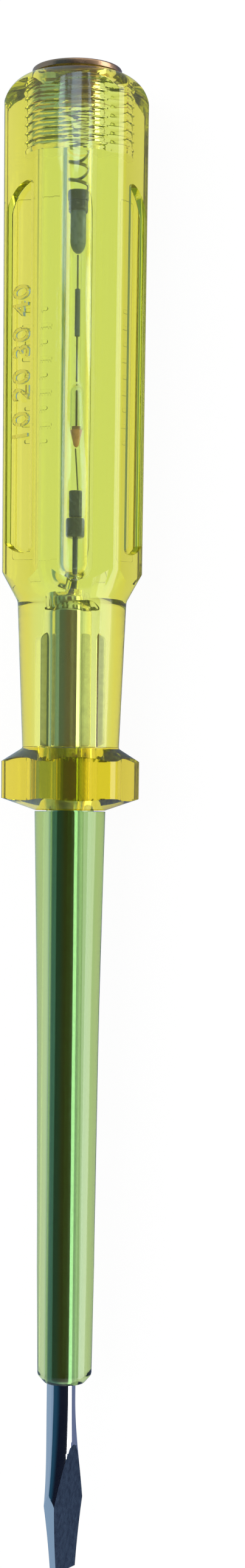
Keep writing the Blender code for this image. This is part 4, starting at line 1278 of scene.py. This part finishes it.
def paper_world():
    """White paper where the camera looks, plain soft light, and a dim ceiling for gloss and glass."""
    world = bpy.data.worlds.new("studio")
    bpy.context.scene.world = world
    world.use_nodes = True
    tree = world.node_tree
    tree.nodes.clear()
    sky = coordinates_of(tree, "Generated")
    path = tree.nodes.new("ShaderNodeLightPath").outputs
    lean = worked_out(tree, "MULTIPLY_ADD", sky["X"], -0.13, sky["Z"])
    along = worked_out(tree, "ABSOLUTE", sky["Y"])
    above, beside = ramp(tree, lean, 0.40, 0.52), ramp(tree, along, 0.55, 0.35)
    overhead = worked_out(tree, "MULTIPLY", above, beside)
    to_right = ramp(tree, sky["X"], -0.8, -0.1)
    mirrored = tint(tree, to_right, CEILING_LEFT, CEILING_RIGHT)
    refracted = tint(tree, to_right, CEILING_THROUGH_LEFT, CEILING_THROUGH_RIGHT)
    far_on = ramp(tree, path["Ray Depth"], 3.4, 4.6)
    refracted = tint(tree, far_on, CEILING_NEAR, refracted)
    ceiling = tint(tree, path["Is Transmission Ray"], mirrored, refracted)
    direct = ramp(tree, path["Diffuse Depth"], 1.0, 0.0)
    polished = worked_out(tree, "MULTIPLY", overhead, direct)
    walls = tint(tree, ramp(tree, sky["X"], -0.5, 0.1), WALL_LEFT, WALL_RIGHT)
    seen = tint(tree, polished, walls, ceiling)
    lights = []
    for shade, strength in ((WHITE, 0.75), (seen, 1.0), (WHITE, 1.0)):
        light = tree.nodes.new("ShaderNodeBackground")
        light.inputs["Strength"].default_value = strength
        feed(tree, shade, light.inputs["Color"])
        lights.append(light.outputs[0])
    gloss = ray_share(tree, {"Is Glossy Ray": 1.0, "Is Transmission Ray": 1.0})
    camera = ray_share(tree, {"Is Camera Ray": 1.0})
    shown = mixed(tree, camera, mixed(tree, gloss, lights[0], lights[1]), lights[2])
    out = tree.nodes.new("ShaderNodeOutputWorld")
    tree.links.new(shown, out.inputs["Surface"])


def paper_floor():
    """A wide sheet of white paper under the tool; polished pieces see it with painted light on the left and
    painted shadow on the right, and clear pieces see it painted darker far to the left.
    """
    put_down()
    bpy.ops.mesh.primitive_plane_add(size=3.0, location=(0, 0, -0.0002))
    floor = bpy.context.object
    floor.name = "paper_floor"
    settle(floor)
    edit(floor)
    bpy.ops.mesh.select_all(action="SELECT")
    bpy.ops.mesh.subdivide(number_cuts=3)
    put_down()
    material, tree, shader = finish_nodes("white_paper")
    shader.inputs["Roughness"].default_value = 0.9
    grain = pattern(tree, 60.0)
    tree.links.new(tint(tree, grain, (0.90, 0.90, 0.90), (0.93, 0.93, 0.93)), shader.inputs["Base Color"])
    glow = tree.nodes.new("ShaderNodeEmission")
    glow.inputs["Strength"].default_value = 1.0
    across = coordinates_of(tree, "Object")["X"]
    # Painted reflection: what gloss sees on the paper is painted lit paper left of the tool and a painted
    # shadow right of it
    mirrored = tint(tree, ramp(tree, across, -0.004, 0.004), PAPER_LEFT_PAINTED_LIGHT, PAPER_RIGHT_PAINTED_SHADOW)
    gloss = ray_share(tree, {"Is Glossy Ray": 1.0, "Is Transmission Ray": -1.0})
    # Seen through clear pieces the white paper is painted darker far to the left, with the same painted
    # colour
    clear = tint(tree, ramp(tree, across, -0.030, -0.010), PAPER_LEFT_PAINTED_LIGHT, WHITE)
    through = ray_share(tree, {"Is Transmission Ray": 1.0})
    plain = tint(tree, through, WHITE, clear)
    tree.links.new(tint(tree, gloss, plain, mirrored), glow.inputs["Color"])
    share = ray_share(tree, {"Is Camera Ray": 0.93, "Is Glossy Ray": 0.9, "Is Transmission Ray": 0.8})
    shown = mixed(tree, share, shader.outputs["BSDF"], glow.outputs["Emission"])
    tree.links.new(shown, tree.nodes["Material Output"].inputs["Surface"])
    floor.data.materials.append(material)


def soft_lamp(name, place_at, size, power, mirrored, refracted):
    """A softbox aimed at the middle of the tool, seen or not seen by gloss and through clear pieces."""
    put_down()
    bpy.ops.object.light_add(type="AREA", location=place_at)
    lamp = bpy.context.object
    lamp.name = name
    lamp.data.shape = "RECTANGLE"
    lamp.data.size, lamp.data.size_y = size
    lamp.data.energy = power
    lamp.visible_glossy = mirrored
    lamp.visible_transmission = refracted
    aim = Vector((0, 0, AXIS)) - Vector(place_at)
    lamp.rotation_euler = aim.to_track_quat("-Z", "Y").to_euler()
    return lamp


def studio_camera():
    """Camera above the tool, a little to its left, square to the middle of its length."""
    turn, roll = math.radians(CAMERA_TURN_DEG), math.radians(CAMERA_ROLL_DEG)
    aside = math.atan(ASIDE_PIXELS / FOCAL_PIXELS)
    away = Vector((-math.sin(turn), 0, math.cos(turn)))
    right = Vector((math.cos(turn), 0, math.sin(turn)))
    along = Vector((0, 1, 0))
    up = along * math.cos(roll) - right * math.sin(roll)
    right = right * math.cos(roll) + along * math.sin(roll)
    back = away * math.cos(aside) - right * math.sin(aside)
    across = right * math.cos(aside) + away * math.sin(aside)
    put_down()
    bpy.ops.object.camera_add()
    camera = bpy.context.object
    camera.name = "studio_camera"
    at = Vector((0, TIP + CAMERA_STATION, AXIS)) + away * CAMERA_DISTANCE
    basis = Matrix((across, up, back)).transposed().to_4x4()
    camera.matrix_world = Matrix.Translation(at) @ basis
    camera.data.sensor_fit = "VERTICAL"
    camera.data.sensor_height = SENSOR_HEIGHT
    camera.data.lens = SENSOR_HEIGHT * FOCAL_PIXELS / FRAME_PIXELS
    camera.data.clip_start = 0.01
    camera.data.clip_end = 20.0
    bpy.context.scene.camera = camera


class TESTER_OT_stage(bpy.types.Operator):
    """Lay the white paper and set the lights and the camera"""

    bl_idname = "tester.stage"
    bl_label = "Stage"

    def execute(self, context):
        context.scene.view_settings.view_transform = "Standard"
        cycles = context.scene.cycles
        cycles.max_bounces = cycles.transmission_bounces = cycles.glossy_bounces = 40
        paper_world()
        paper_floor()
        soft_lamp("softbox_left", (-0.45, 0.1, 0.45), (0.3, 0.6), 3.0, False, False)
        soft_lamp("softbox_right", (0.52, 0.0, 0.19), (1.2, 0.3), 2.6, True, True)
        strip = soft_lamp("strip_light", (0.0636, 0.165, AXIS + 0.6), (0.0085, 0.24), 0.035, True, False)
        strip.rotation_euler = (0, 0, 0)
        strip.data.color = (0.6, 0.78, 1.0)
        studio_camera()
        return {"FINISHED"}


class TESTER_PT_sidebar(bpy.types.Panel):
    """Sidebar panel that lists the pieces of the tester"""

    bl_label = "Voltage tester"
    bl_idname = "TESTER_PT_sidebar"
    bl_space_type = "VIEW_3D"
    bl_region_type = "UI"
    bl_category = "Tester"

    def draw(self, context):
        layout = self.layout
        for step in STEPS:
            layout.operator(step.bl_idname)
        for group in (context.scene.tester_handle, context.scene.tester_metal, context.scene.tester_colours):
            box = layout.box()
            for name in group.bl_rna.properties.keys():
                if name not in ("name", "rna_type"):
                    box.prop(group, name, text=name.replace("_", " ").capitalize())


GROUPS = (TesterHandleSizes, TesterMetalSizes, TesterColours)
STEPS = (
    TESTER_OT_handle,
    TESTER_OT_sheath,
    TESTER_OT_blade,
    TESTER_OT_cap,
    TESTER_OT_spring,
    TESTER_OT_resistor,
    TESTER_OT_lamp,
    TESTER_OT_contact,
    TESTER_OT_stage,
)


def register():
    for entry in GROUPS + STEPS + (TESTER_PT_sidebar,):
        bpy.utils.register_class(entry)
    bpy.types.Scene.tester_handle = PointerProperty(type=TesterHandleSizes)
    bpy.types.Scene.tester_metal = PointerProperty(type=TesterMetalSizes)
    bpy.types.Scene.tester_colours = PointerProperty(type=TesterColours)


def unregister():
    del bpy.types.Scene.tester_colours
    del bpy.types.Scene.tester_metal
    del bpy.types.Scene.tester_handle
    for entry in reversed(GROUPS + STEPS + (TESTER_PT_sidebar,)):
        bpy.utils.unregister_class(entry)


def main():
    register()
    bpy.ops.tester.handle()
    bpy.ops.tester.sheath()
    bpy.ops.tester.blade()
    bpy.ops.tester.cap()
    bpy.ops.tester.spring()
    bpy.ops.tester.resistor()
    bpy.ops.tester.lamp()
    bpy.ops.tester.contact()
    bpy.ops.tester.stage()


if __name__ == "__main__":
    main()
